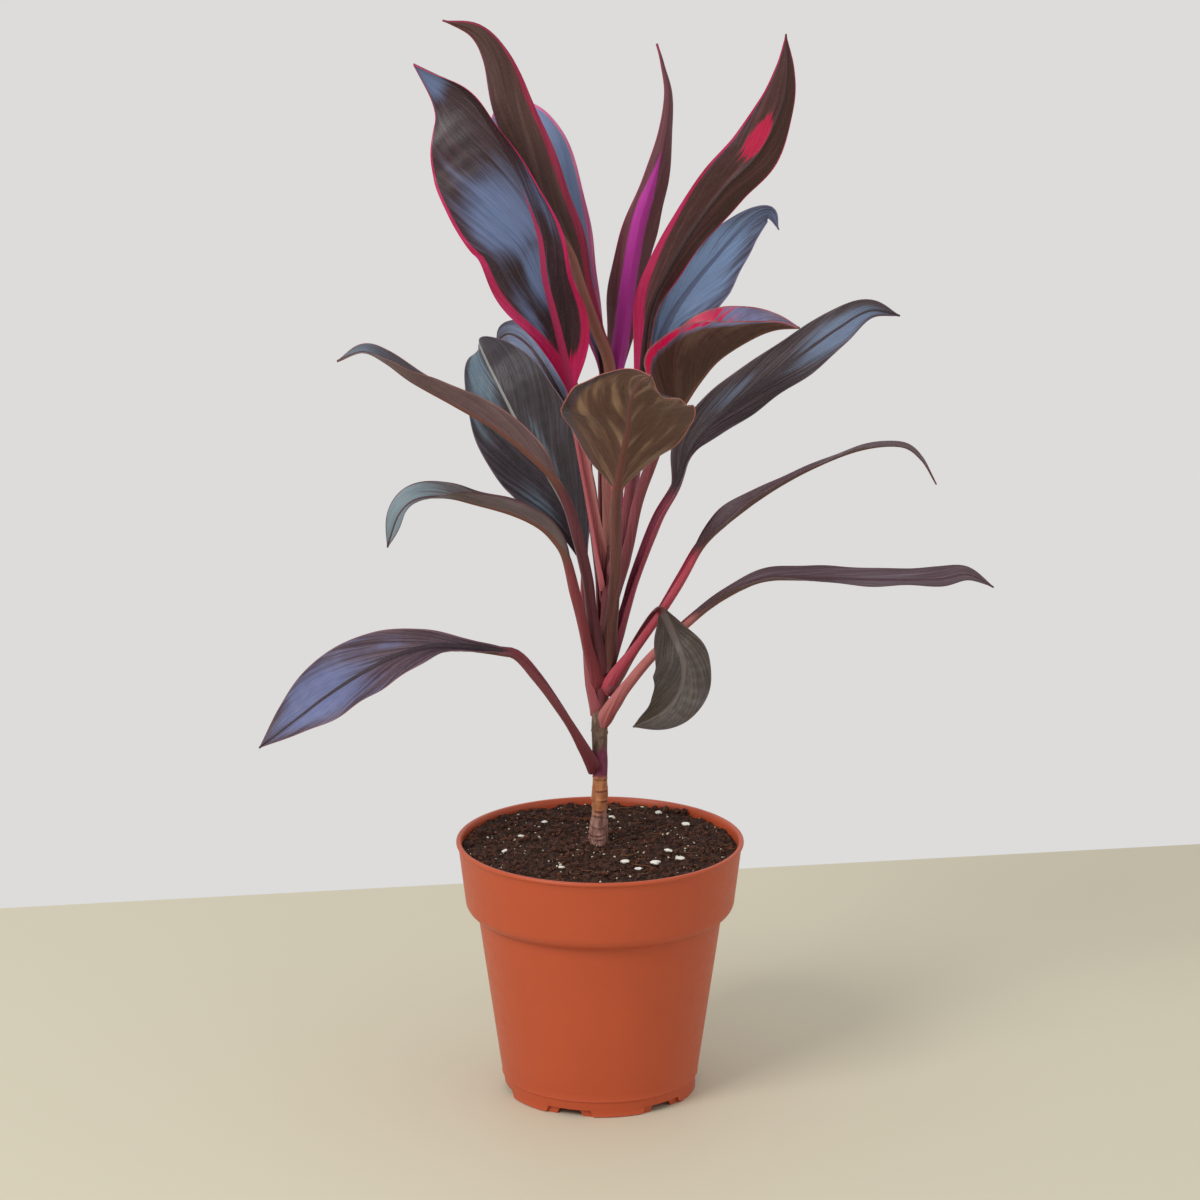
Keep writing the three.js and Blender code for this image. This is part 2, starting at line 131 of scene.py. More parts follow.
class StageSettings(bpy.types.PropertyGroup):
    distance: length("Distance", "Camera's distance in front of the pot", 2.28)
    height: length("Height", "Camera's height above the floor", 0.869)
    tilt: FloatProperty(name="Tilt", description="How far the camera looks down",
                        default=math.radians(14.75), subtype="ANGLE")
    lens: FloatProperty(name="Lens", description="Focal length", default=135.4, unit="CAMERA")
    floor: shade("Floor", "Colour of the pale floor", "#d2cbb4")
    wall: shade("Backdrop", "Colour of the light around the floor", "#ecebea")
    key: FloatProperty(name="Key light", description="Power of the large light on the left",
                       default=40.0, min=0.0, unit="POWER")


class PlantSettings(bpy.types.PropertyGroup):
    pot: PointerProperty(type=PotSettings)
    soil: PointerProperty(type=SoilSettings)
    stem: PointerProperty(type=StemSettings)
    leaf: PointerProperty(type=LeafSettings)
    stage: PointerProperty(type=StageSettings)


# ---------- material building ----------
class Nodes:
    """Short names for the shader nodes that the finishes are made of."""

    def __init__(self, name):
        self.material = bpy.data.materials.new(name)
        self.material.use_nodes = True
        self.tree = self.material.node_tree
        self.surface = self.tree.nodes["Principled BSDF"]

    def add(self, kind, **settings):
        node = self.tree.nodes.new(kind)
        for key, value in settings.items():
            setattr(node, key, value)
        return node

    def plug(self, socket, value):
        """Links a socket to another, or sets it to a plain value."""
        if isinstance(value, bpy.types.NodeSocket):
            self.tree.links.new(value, socket)
        else:
            socket.default_value = value

    def attribute(self, name):
        return self.add("ShaderNodeAttribute", attribute_name=name).outputs["Fac"]

    def math(self, operation, first, second=0.0, third=0.0):
        node = self.add("ShaderNodeMath", operation=operation)
        for socket, value in zip(node.inputs, (first, second, third)):
            self.plug(socket, value)
        return node.outputs[0]

    def step(self, value, low, high):
        """0 below low and 1 above high, with a smooth rise between; high may be the lower."""
        node = self.add("ShaderNodeMapRange", interpolation_type="SMOOTHSTEP")
        self.plug(node.inputs["Value"], value)
        node.inputs["From Min"].default_value = low
        node.inputs["From Max"].default_value = high
        return node.outputs[0]

    def span(self, value, low, high, to_low, to_high):
        node = self.add("ShaderNodeMapRange")
        self.plug(node.inputs["Value"], value)
        for socket, number in zip(list(node.inputs)[1:5], (low, high, to_low, to_high)):
            socket.default_value = number
        return node.outputs[0]

    def mix(self, factor, first, second, blend="MIX"):
        node = self.add("ShaderNodeMix", data_type="RGBA", blend_type=blend)
        for socket, value in zip((node.inputs[0], node.inputs[6], node.inputs[7]),
                                 (factor, first, second)):
            self.plug(socket, value)
        return node.outputs[2]

    def vector(self, x, y, z=0.0):
        node = self.add("ShaderNodeCombineXYZ")
        for socket, value in zip(node.inputs, (x, y, z)):
            self.plug(socket, value)
        return node.outputs[0]

    def place(self):
        return self.add("ShaderNodeTexCoord").outputs["Object"]

    def noise(self, vector, scale, detail=3.0, rough=0.55):
        node = self.add("ShaderNodeTexNoise")
        self.plug(node.inputs["Vector"], vector)
        node.inputs["Scale"].default_value = scale
        node.inputs["Detail"].default_value = detail
        node.inputs["Roughness"].default_value = rough
        return node.outputs["Fac"]

    def cells(self, vector, scale):
        node = self.add("ShaderNodeTexVoronoi")
        self.plug(node.inputs["Vector"], vector)
        node.inputs["Scale"].default_value = scale
        return node.outputs["Distance"]

    def bump(self, height, distance, strength=1.0):
        node = self.add("ShaderNodeBump")
        node.inputs["Strength"].default_value = strength
        node.inputs["Distance"].default_value = distance
        self.plug(node.inputs["Height"], height)
        return node.outputs[0]

    def finish(self, colour, roughness, normal=None, specular=0.5, coat=0.0, coat_roughness=0.3):
        inputs = self.surface.inputs
        self.plug(inputs["Base Color"], colour)
        self.plug(inputs["Roughness"], roughness)
        if normal is not None:
            self.plug(inputs["Normal"], normal)
        inputs["Specular IOR Level"].default_value = specular
        inputs["Coat Weight"].default_value = coat
        inputs["Coat Roughness"].default_value = coat_roughness
        return self.material


def plastic_finish(settings):
    """Semi-matt moulded plastic: faint mottling, fine grain and scuffs."""
    n = Nodes("terracotta_plastic")
    place = n.place()
    cloud = n.noise(place, 28.0, 3.0)
    grain = n.noise(place, 2400.0, 2.0)
    scuff = n.noise(place, 160.0, 6.0, 0.7)
    deep, pale = toned(settings.colour, 0.95), toned(settings.colour, 1.04)
    colour = n.mix(n.span(cloud, 0.2, 0.8, 0.0, 1.0), deep, pale)
    rough = n.span(scuff, 0.3, 0.7, settings.roughness - 0.05, settings.roughness + 0.08)
    return n.finish(colour, rough, n.bump(grain, 0.00008, 0.35), specular=0.45)


def peat_finish(settings, name="peat", tone=1.0):
    """Moist fibrous peat with reddish bits, painted darker where its clod bump is low, as painted shade in
    the hollows.
    """
    n = Nodes(name)
    place = n.place()
    clod = n.noise(place, 260.0, 5.0, 0.7)
    bits = n.cells(place, 520.0)
    # Painted shade: the low places of the clod bump are painted at under half the peat's brightness.
    dark, body = toned(settings.colour, 0.45 * tone), toned(settings.colour, tone)
    colour = n.mix(n.step(clod, 0.35, 0.62), dark, body)
    colour = n.mix(n.step(n.noise(place, 620.0, 2.0), 0.6, 0.72), colour, toned(settings.bark, tone))
    height = n.math("ADD", clod, n.math("MULTIPLY", bits, 0.5))
    return n.finish(colour, n.span(clod, 0.3, 0.7, 0.95, 0.7), n.bump(height, 0.0012, 0.8),
                    specular=0.3)


def fibre_finish(settings):
    """Loose plant fibres, reddish to straw."""
    n = Nodes("peat_fibre")
    tone = n.noise(n.place(), 90.0, 1.0)
    colour = n.mix(n.step(tone, 0.4, 0.65), tuple(settings.bark), ink("#6e4a2c"))
    return n.finish(colour, 0.8, specular=0.3)


def perlite_finish(settings):
    """Porous white volcanic glass with its pits painted greyer, and dusty spots."""
    n = Nodes("perlite")
    place = n.place()
    pores = n.cells(place, 2200.0)
    dust = n.noise(place, 700.0, 3.0)
    # The pits of the pore bump are painted greyer.
    colour = n.mix(n.step(pores, 0.05, 0.4), ink("#a89f8a"), tuple(settings.perlite))
    colour = n.mix(n.step(dust, 0.58, 0.75), colour, ink("#7d7350"))
    return n.finish(colour, 0.85, n.bump(pores, 0.0003, 0.8), specular=0.3)


def root_finish():
    """Pale fleshy roots with a rough skin."""
    n = Nodes("root_skin")
    skin = n.noise(n.place(), 400.0, 4.0)
    colour = n.mix(skin, ink("#8a6238"), ink("#d8b98c"))
    return n.finish(colour, 0.75, n.bump(skin, 0.0006, 0.6), specular=0.3)


# Heights in millimetres over which each kind of bark on the cane gives way to the next.
TAN_STARTS, SHEATH_STARTS = (149.0, 156.0), (170.0, 174.0)
BROWN_STARTS, YOUNG_STARTS = (185.0, 191.0), (206.0, 214.0)


def bark_finish(settings):
    """Cane bark by height: greyish pink foot, tan with rings, a magenta band of leaf sheath,
    brown bark, and young reddish wood among the leaves."""
    n = Nodes("cane_bark")
    place = n.place()
    height = n.attribute("height_mm")
    scar = n.attribute("scar")
    stretched = n.add("ShaderNodeMapping")
    stretched.inputs["Scale"].default_value = (1.0, 1.0, 0.3)
    n.plug(stretched.inputs["Vector"], place)
    stain = n.noise(stretched.outputs[0], 330.0, 5.0, 0.7)
    wander = n.math("MULTIPLY_ADD", n.noise(place, 120.0, 3.0), 8.0, -4.0)
    level = n.math("ADD", height, wander)
    foot = n.mix(n.step(stain, 0.42, 0.62), ink("#6e4a42"), tuple(settings.foot))
    tan = n.mix(n.step(stain, 0.35, 0.7), ink("#9a5a38"), tuple(settings.tan))
    bark = n.mix(n.step(stain, 0.42, 0.66), tuple(settings.bark), ink("#8d7464"))
    colour = n.mix(n.step(level, *TAN_STARTS), foot, tan)
    sheath = n.mix(n.step(stain, 0.35, 0.7), ink("#5c1f38"), ink("#863a58"))
    colour = n.mix(n.step(level, *SHEATH_STARTS), colour, sheath)
    colour = n.mix(n.step(level, *BROWN_STARTS), colour, bark)
    colour = n.mix(n.step(level, *YOUNG_STARTS), colour, ink("#6a2f34"))
    colour = n.mix(n.math("MULTIPLY", scar, 0.75), colour, ink("#4a2c22"))
    rough = n.span(stain, 0.3, 0.7, 0.5, 0.75)
    return n.finish(colour, rough, n.bump(stain, 0.0005, 0.6), specular=0.35)


# Veins leave the midrib and lean towards the tip: how far, in shares of the blade's length, and
# the power of the way to the margin that gives their curve.
VEIN_SLANT, VEIN_CURVE = 0.55, 0.85


def leaf_finish(name, look, settings, seed):
    """A cordyline leaf: dark waxy upper side with a painted blue-grey sheen along the veins, which is a
    painted reflection of the light, matt underside with patches of painted sheen, coloured margins,
    midrib and stalk. It reads where it is on the leaf from the mesh."""
    n = Nodes(name)
    across, along = n.attribute("across"), n.attribute("along")
    margin, rib = n.attribute("margin"), n.attribute("rib")
    under, blush = n.attribute("under"), n.attribute("blush")
    stalk = n.attribute("stalk")
    side = n.math("ABSOLUTE", across)
    vein = n.math("MULTIPLY_ADD", n.math("POWER", side, VEIN_CURVE), -VEIN_SLANT, along)
    half = n.math("MULTIPLY_ADD", n.math("SIGN", across), 3.0, seed)
    fine = n.noise(n.vector(n.math("MULTIPLY", vein, 95.0), n.math("MULTIPLY", side, 2.2), half),
                   1.0, 3.0, 0.6)
    streak = n.noise(n.vector(n.math("MULTIPLY", vein, 24.0), n.math("MULTIPLY", side, 1.6), half),
                     1.0, 3.0, 0.6)
    patch = n.noise(n.vector(n.math("MULTIPLY", vein, 6.5), n.math("MULTIPLY", side, 1.7), half),
                    1.0, 2.0)
    grain = n.noise(n.place(), 900.0, 2.0)

    upper = n.mix(n.step(streak, 0.38, 0.66), ink(look["upper"]), ink(look["tint"]))
    # Painted sheen: a blue-grey reflection of the light, painted in spots along the veins of the upper
    # side and broken up by the fine veins.
    wander = n.math("ADD", n.math("MULTIPLY", streak, 0.7), n.math("MULTIPLY", patch, 0.9))
    bloom = n.step(n.math("ADD", n.attribute("bloom"), n.math("ADD", wander, -0.8)), 0.2, 0.85)
    bloom = n.math("MULTIPLY", bloom, n.span(fine, 0.3, 0.7, 0.35, 1.0))
    bloom = n.math("MULTIPLY", bloom, look["bloom_amount"])
    upper = n.mix(bloom, upper, ink(look["bloom"]))
    upper = n.mix(n.math("MULTIPLY", n.step(fine, 0.5, 0.7), 0.5), upper, ink(look["upper"]))
    lower = n.mix(n.step(fine, 0.35, 0.7), ink(look["under"]), ink(look["under_tint"]))
    # Painted sheen on the underside: paler patches, and a share of the upper side's painted reflection.
    lower = n.mix(n.math("MULTIPLY", n.step(patch, 0.45, 0.75), look["under_glow"]), lower,
                  ink(look["under_sheen"]))
    lower = n.mix(n.math("MULTIPLY", bloom, look["bloom_under"]), lower, ink(look["bloom"]))
    face = n.mix(under, upper, lower)

    ragged = n.math("MULTIPLY_ADD", streak, 0.9, -0.45)
    face = n.mix(n.step(n.math("ADD", blush, ragged), 0.42, 0.62), face, ink(look["blush"]))
    edge_here = n.step(n.math("ADD", margin, n.math("MULTIPLY", ragged, 0.8)), 1.1, 0.8)
    face = n.mix(edge_here, face, n.mix(n.step(streak, 0.35, 0.7), ink(look["edge"]),
                                        ink(look["edge_tint"])))
    rib_colour = n.mix(under, ink(look["rib"]), ink(look["rib_under"]))
    face = n.mix(n.step(n.math("ADD", rib, n.math("MULTIPLY", ragged, 0.3)), 1.1, 0.75), face,
                 rib_colour)
    stalk_colour = n.mix(n.step(n.math("ADD", streak, n.math("MULTIPLY", across, 0.2)), 0.4, 0.7),
                         ink(look["stalk"]), ink(look["stalk_tint"]))
    face = n.mix(stalk, face, stalk_colour)
    face = n.mix(n.math("MULTIPLY", n.step(grain, 0.5, 0.9), 0.12), face, ink("#8c7c80"))

    shine = n.mix(under, (settings.roughness,) * 3 + (1.0,), (0.52, 0.52, 0.52, 1.0))
    rough = n.math("ADD", shine, n.span(fine, 0.3, 0.7, -0.05, 0.1))
    relief = n.math("ADD", n.math("MULTIPLY", fine, 0.5), streak)
    return n.finish(face, rough, n.bump(relief, 0.0007, 0.55), specular=0.35,
                    coat=look["coat"], coat_roughness=0.35)


# ---------- mesh building ----------
def piece_from(name, points, faces, slot, materials, smooth_angle=50.0):
    """A mesh object that rides on the plant's body, with the finishes it is given."""
    mesh = bpy.data.meshes.new(name)
    mesh.from_pydata([tuple(p) for p in points], [], faces)
    mesh.validate()
    shell = bmesh.new()
    shell.from_mesh(mesh)
    bmesh.ops.recalc_face_normals(shell, faces=shell.faces)
    shell.to_mesh(mesh)
    shell.free()
    mesh.shade_smooth()
    mesh.set_sharp_from_angle(angle=math.radians(smooth_angle))
    thing = bpy.data.objects.new(name, mesh)
    bpy.context.scene.collection.objects.link(thing)
    for material in materials:
        mesh.materials.append(material)
    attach(thing, BODY)
    return thing


def write_attribute(thing, name, values):
    layer = thing.data.attributes.new(name, "FLOAT", "POINT")
    layer.data.foreach_set("value", np.asarray(values, dtype=np.float32))


def grid_faces(rows, columns, closed=True):
    """Quads over rows of points; closed joins each row's end to its start."""
    faces = []
    for i in range(rows - 1):
        for j in range(columns if closed else columns - 1):
            k = (j + 1) % columns
            faces.append((i * columns + j, i * columns + k,
                          (i + 1) * columns + k, (i + 1) * columns + j))
    return faces


def fan(hub, start, segments):
    """Triangles from a hub to the ring of points that begins at start."""
    return [(hub, start + (j + 1) % segments, start + j) for j in range(segments)]


def spline(points, steps=24):
    """A Catmull-Rom curve through the points, and the point number that each step stands for."""
    points = np.asarray(points, dtype=float)
    ends = np.vstack([2 * points[0] - points[1], points, 2 * points[-1] - points[-2]])
    rows, marks = [], []
    for i in range(len(points) - 1):
        before, start, stop, after = ends[i:i + 4]
        leave, arrive = (stop - before) / 2, (after - start) / 2
        for k in range(steps):
            t = k / steps
            rows.append((2 * t**3 - 3 * t**2 + 1) * start + (t**3 - 2 * t**2 + t) * leave
                        + (3 * t**2 - 2 * t**3) * stop + (t**3 - t**2) * arrive)
            marks.append(i + t)
    return np.array(rows + [points[-1]]), np.array(marks + [len(points) - 1])


def walk(curve):
    """Length along the curve at each of its points, and a function from length to place."""
    run = np.r_[0, np.cumsum(np.linalg.norm(np.diff(curve, axis=0), axis=1))]

    def place(distance):
        return np.stack([np.interp(distance, run, curve[:, i]) for i in range(3)], axis=-1)
    return run, place


def softened(values, reach):
    """Values smoothed along the leaf, so that no bend shows where two stretches meet."""
    padded = np.r_[[values[0]] * reach, values, [values[-1]] * reach]
    kernel = np.hanning(2 * reach + 3)[1:-1]
    return np.convolve(padded, kernel / kernel.sum(), mode="valid")


# ---------- pot ----------
COLLAR_UNDERCUT = 7.0 * MM
COLLAR_STEP = 6.5 * MM
COLLAR_FLARE = 3.9 * MM
LIP_OVERHANG = 0.8 * MM
LIP_HEIGHT = 2.2 * MM
FLOOR_BOTTOM, FLOOR_TOP = 4.5 * MM, 6.7 * MM
FOOT_WIDTH, BOSS_RADIUS = 4.2 * MM, 9.0 * MM
NOTCH_COUNT, NOTCH_HEIGHT, FIRST_NOTCH = 6, 4.0 * MM, -109.0
NOTCH_WIDTH, SKIRT_NOTCH_WIDTH, SKIRT = 15.0 * MM, 27.0 * MM, 1.6 * MM
SEAM_HEIGHT = 9.5 * MM
DRAIN_RADIUS, DRAIN_RING = 4.0 * MM, 34.0 * MM


def pot_radius(pot, z):
    """Outside radius of the pot at height z."""
    collar_low = pot.height - pot.collar
    body_top = collar_low - COLLAR_UNDERCUT
    body_radius = pot.rim_radius - LIP_OVERHANG - COLLAR_FLARE - COLLAR_STEP
    if z <= body_top:
        return pot.foot_radius + (body_radius - pot.foot_radius) * z / body_top
    if z < collar_low:
        turn = (z - body_top) / COLLAR_UNDERCUT
        return body_radius + COLLAR_STEP * math.sqrt(1 - (1 - turn) ** 2)
    return body_radius + COLLAR_STEP + COLLAR_FLARE * (z - collar_low) / pot.collar


def pot_profile(pot):
    """The pot's outline from the centre of its underside, up its outside and down inside."""
    collar_low = pot.height - pot.collar
    body_top = collar_low - COLLAR_UNDERCUT
    foot_inner = pot.foot_radius - FOOT_WIDTH
    profile = [(0.0, 0.0), (BOSS_RADIUS - 0.4 * MM, 0.0), (BOSS_RADIUS, 0.4 * MM),
               (BOSS_RADIUS, FLOOR_BOTTOM), (foot_inner, FLOOR_BOTTOM), (foot_inner, 0.4 * MM),
               (foot_inner + 0.5 * MM, 0.0), (pot.foot_radius - SKIRT - 0.2 * MM, 0.0),
               (pot.foot_radius - SKIRT, 0.0), (pot.foot_radius - 0.6 * MM, 0.0),
               (pot_radius(pot, 0.5 * MM), 0.5 * MM)]
    heights = [2 * MM, NOTCH_HEIGHT, SEAM_HEIGHT - 0.8 * MM]
    profile += [(pot_radius(pot, z) - 0.5 * MM, z) for z in heights]
    profile += [(pot_radius(pot, SEAM_HEIGHT) + 0.2 * MM, SEAM_HEIGHT - 0.2 * MM),
                (pot_radius(pot, SEAM_HEIGHT), SEAM_HEIGHT + 0.7 * MM)]
    body = np.linspace(SEAM_HEIGHT + 4 * MM, body_top - 1.0 * MM, 12)
    undercut = body_top + COLLAR_UNDERCUT * (1 - np.cos(np.linspace(0, math.pi / 2, 12)))
    collar = np.linspace(collar_low + 1.5 * MM, pot.height - LIP_HEIGHT - 0.6 * MM, 10)
    profile += [(pot_radius(pot, z), z) for z in [*body, *undercut, *collar]]
    lip = 0.8 * MM
    for turn in np.linspace(-90, 90, 9):
        a = math.radians(turn)
        profile.append((pot.rim_radius - lip + lip * math.cos(a),
                        pot.height - LIP_HEIGHT / 2 + (LIP_HEIGHT / 2) * math.sin(a)))
    inner = [pot.height - 0.7 * MM, *np.linspace(pot.height - 3 * MM, collar_low + 3 * MM, 8),
             body_top + 3 * MM, body_top - 3 * MM, 50 * MM, FLOOR_TOP]
    profile.append((pot_radius(pot, pot.height) - pot.wall + 0.5 * MM, pot.height - 0.1 * MM))
    profile += [(pot_radius(pot, z) - pot.wall, z) for z in inner]
    return profile + [(0.0, FLOOR_TOP)]


def notch_lift(angle, radius, pot):
    """How far the foot ring is cut away at an angle, with sloping sides to each notch. Its outer
    skirt is cut wider than the ring inside, which leaves a small step at each side."""
    width = SKIRT_NOTCH_WIDTH if radius > pot.foot_radius - SKIRT - 0.1 * MM else NOTCH_WIDTH
    pitch = 2 * math.pi / NOTCH_COUNT
    away = (angle - math.radians(FIRST_NOTCH) + pitch / 2) % pitch - pitch / 2
    gap = width / 2 - abs(away) * pot.foot_radius
    return NOTCH_HEIGHT * min(1.0, max(0.0, gap / (1.8 * MM)))


def drill(thing, cutters):
    """Cuts each (x, y, radius, low, high) hole through a piece."""
    tool = bmesh.new()
    for x, y, radius, low, high in cutters:
        middle = Matrix.Translation((x, y, (low + high) / 2))
        bmesh.ops.create_cone(tool, cap_ends=True, segments=32, radius1=radius, radius2=radius,
                              depth=high - low, matrix=middle)
    mesh = bpy.data.meshes.new("drill")
    tool.to_mesh(mesh)
    tool.free()
    bit = bpy.data.objects.new("drill", mesh)
    bpy.context.scene.collection.objects.link(bit)
    cut = thing.modifiers.new("drill", "BOOLEAN")
    cut.operation, cut.object, cut.solver = "DIFFERENCE", bit, "EXACT"
    apply_all(thing)
    bpy.data.objects.remove(bit)


def apply_all(thing):
    """Turns a piece's modifiers into its mesh."""
    depsgraph = bpy.context.evaluated_depsgraph_get()
    finished = bpy.data.meshes.new_from_object(thing.evaluated_get(depsgraph))
    thing.modifiers.clear()
    thing.data = finished


def make_pot(pot):
    segments = 288
    profile = pot_profile(pot)
    ring = profile[1:-1]
    points = []
    foot_inner = pot.foot_radius - FOOT_WIDTH - 0.1 * MM
    for radius, z in ring:
        for j in range(segments):
            angle = 2 * math.pi * j / segments
            lift = notch_lift(angle, radius, pot) if radius > foot_inner else 0.0
            up = max(z, lift) if z < NOTCH_HEIGHT + 0.1 * MM else z
            points.append((radius * math.cos(angle), radius * math.sin(angle), up))
    faces = grid_faces(len(ring), segments)
    low, high = len(points), len(points) + 1
    points += [(0, 0, profile[0][1]), (0, 0, profile[-1][1])]
    faces += fan(low, 0, segments) + fan(high, (len(ring) - 1) * segments, segments)
    thing = piece_from("pot_moulding", points, faces, "pot", [plastic_finish(pot)], 40.0)
    turns = [math.radians(FIRST_NOTCH + (i + 0.5) * 360 / NOTCH_COUNT) for i in range(NOTCH_COUNT)]
    drill(thing, [(DRAIN_RING * math.cos(a), DRAIN_RING * math.sin(a), DRAIN_RADIUS, 0.0, 12 * MM)
                  for a in turns])
    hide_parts("pot")


# ---------- soil ----------
WALL_GAP = 0.35 * MM
FIBRE_RINGS, FIBRE_SIDES = 6, 4


def soil_reach(pot, z):
    """Radius of the soil at height z, just inside the pot's wall."""
    return pot_radius(pot, z) - pot.wall - WALL_GAP


def soil_height(soil, x, y):
    """Height of the soil's rough surface over a point."""
    broad = noise.noise(Vector((x, y, 0.3)) * 90.0)
    clod = noise.noise(Vector((x, y, 1.7)) * 210.0)
    crumb = noise.noise(Vector((x, y, 4.1)) * 520.0)
    fine = noise.noise(Vector((x, y, 7.9)) * 1300.0)
    rough = 0.35 * broad + 0.45 * abs(clod) * 2 + 0.3 * crumb + 0.14 * fine
    lean = (y - 0.6 * x) / POT_HIGH[0]
    return soil.level + soil.clods * (rough - 0.34 + 0.3 * lean)


def make_soil(soil, pot):
    rings, segments = 120, 240
    reach = soil_reach(pot, soil.level)
    points = []
    for i in range(1, rings + 1):
        radius = reach * i / rings
        for j in range(segments):
            angle = 2 * math.pi * (j + 0.5 * (i % 2)) / segments
            x, y = radius * math.cos(angle), radius * math.sin(angle)
            points.append((x, y, soil_height(soil, x, y)))
    heights = [soil.level - 6 * MM, pot.height - pot.collar + 3 * MM, 102 * MM, 96 * MM, 50 * MM,
               FLOOR_TOP + WALL_GAP]
    for z in heights:
        for j in range(segments):
            angle = 2 * math.pi * j / segments
            wide = soil_reach(pot, z)
            points.append((wide * math.cos(angle), wide * math.sin(angle), z))
    rows = rings + len(heights)
    faces = grid_faces(rows, segments)
    top, bottom = len(points), len(points) + 1
    points += [(0, 0, soil_height(soil, 0, 0)), (0, 0, heights[-1])]
    faces += fan(top, 0, segments) + fan(bottom, (rows - 1) * segments, segments)
    thing = piece_from("soil_body", points, faces, "soil", [peat_finish(soil)], 75.0)
    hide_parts("soil")


def lump(detail):
    """Points and faces of a unit ball to shape crumbs and grains from."""
    ball = bmesh.new()
    bmesh.ops.create_icosphere(ball, subdivisions=detail, radius=1.0)
    points = np.array([v.co[:] for v in ball.verts])
    faces = np.array([[v.index for v in f.verts] for f in ball.faces])
    ball.free()
    return points, faces


def rough_lump(detail, size, rng, flat=1.0):
    """One irregular lump, turned at random."""
    points, faces = lump(detail)
    shift = Vector((rng.random(), rng.random(), rng.random())) * 50
    bulge = np.array([1 + 0.45 * noise.noise(Vector(p) * 1.3 + shift)
                      + 0.22 * noise.noise(Vector(p) * 3.1 + shift) for p in points])
    stretch = np.array([rng.uniform(0.7, 1.3), rng.uniform(0.6, 1.1), rng.uniform(0.6, 1.0) * flat])
    turn = Matrix.Rotation(rng.uniform(0, 6.3), 3, "Z") @ Matrix.Rotation(rng.uniform(-0.5, 0.5), 3, "X")
    return (points * bulge[:, None] * stretch * size) @ np.array(turn).T, faces


def scatter(count, soil, pot, rng, shape):
    """Joins count loose bits, each made by shape(rng), spread over the soil."""
    reach = soil_reach(pot, soil.level) - 1.5 * MM
    points, faces, start = [], [], 0
    for _ in range(count):
        radius, angle = reach * math.sqrt(rng.random()), rng.uniform(0, 2 * math.pi)
        x, y = radius * math.cos(angle), radius * math.sin(angle)
        bit, corners = shape(rng)
        points.append(bit + np.array([x, y, soil_height(soil, x, y)]))
        faces += [tuple(int(c) + start for c in face) for face in corners]
        start += len(bit)
    return np.vstack(points), faces


def crumb(rng):
    size = rng.choice((0.6, 0.8, 1.1, 1.5, 2.1)) * MM
    return rough_lump(1, size, rng)


def speck(rng):
    size = rng.choice((0.4, 0.45, 0.5, 0.6, 0.75, 1.1)) * MM
    return rough_lump(1, size, rng, 0.7)


def fibre(rng):
    """A thin bent strand lying on the soil."""
    span, thick = rng.uniform(3, 11) * MM, rng.uniform(0.12, 0.3) * MM
    heading, bend = rng.uniform(0, 6.3), rng.uniform(-0.9, 0.9)
    rings = []
    for i in range(FIBRE_RINGS):
        t = i / (FIBRE_RINGS - 1)
        a = heading + bend * t
        centre = np.array([math.cos(a), math.sin(a), 0]) * span * (t - 0.5)
        centre[2] = 0.5 * MM + rng.uniform(0, 0.8) * MM
        side = np.array([-math.sin(a), math.cos(a), 0])
        for turn in range(FIBRE_SIDES):
            b = turn * 2 * math.pi / FIBRE_SIDES
            rings.append(centre + thick * (math.cos(b) * side + math.sin(b) * np.array([0, 0, 1])))
    ends = [tuple(range(FIBRE_SIDES))[::-1],
            tuple(range((FIBRE_RINGS - 1) * FIBRE_SIDES, FIBRE_RINGS * FIBRE_SIDES))]
    return np.array(rings), grid_faces(FIBRE_RINGS, FIBRE_SIDES) + ends


def make_litter(soil, pot):
    """Loose crumbs, fibres and small specks on the soil."""
    rng = random.Random(11)
    points, faces = scatter(soil.crumbs, soil, pot, rng, crumb)
    piece_from("peat_crumbs", points, faces, "soil", [peat_finish(soil, "peat_crumb", 1.7)], 80.0)
    points, faces = scatter(soil.fibres, soil, pot, rng, fibre)
    piece_from("peat_fibres", points, faces, "soil", [fibre_finish(soil)], 60.0)
    points, faces = scatter(soil.specks, soil, pot, rng, speck)
    piece_from("perlite_specks", points, faces, "perlite", [perlite_finish(soil)], 80.0)


def make_perlite(soil):
    """A fine grain in the place of each of the frame's plain ones."""
    names = sorted(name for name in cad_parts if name.startswith("perlite_"))
    material = bpy.data.materials.get("perlite") or perlite_finish(soil)
    rng = random.Random(5)
    for name in names:
        low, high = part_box(name)
        centre = (low + high) / 2
        points, faces = rough_lump(3, 1.0, rng)
        span = points.max(axis=0) - points.min(axis=0)
        points = points / span * np.array(high - low) * 0.98
        points -= (points.max(axis=0) + points.min(axis=0)) / 2
        grain = piece_from(name + "_grain", points + np.array(centre), [tuple(map(int, f)) for f in faces],
                           "perlite", [material], 80.0)
        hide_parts(name)


# ---------- stem ----------
STEM_PATH = [(-1, 6, 97), (-1, 6, 131), (0, 4, 166), (0, 3, 205), (3, 4, 246), (5, 7, 280),
             (5, 8, 296)]
STEM_RADII = [3.6, 4.6, 5.2, 5.5, 5.3, 4.9, 4.1, 4.3, 3.9, 4.2, 4.0, 4.2, 4.3, 4.1, 4.2, 4.0,
              4.0, 3.8, 3.6, 3.4, 3.0, 2.4, 1.2]
# Height of each leaf scar, how far it tilts, and the way round that its high side faces.
STEM_SCARS = [(134, 0.6, 0.3), (137, 0.9, 2.2), (141, 1.4, 4.1), (146, 1.8, 4.7), (150, 0.7, 1.0),
              (154, 0.6, 5.2), (159, 0.3, 2.0), (165, 0.2, 4.4), (171, 0.3, 0.8), (196, 1.6, 5.0)]


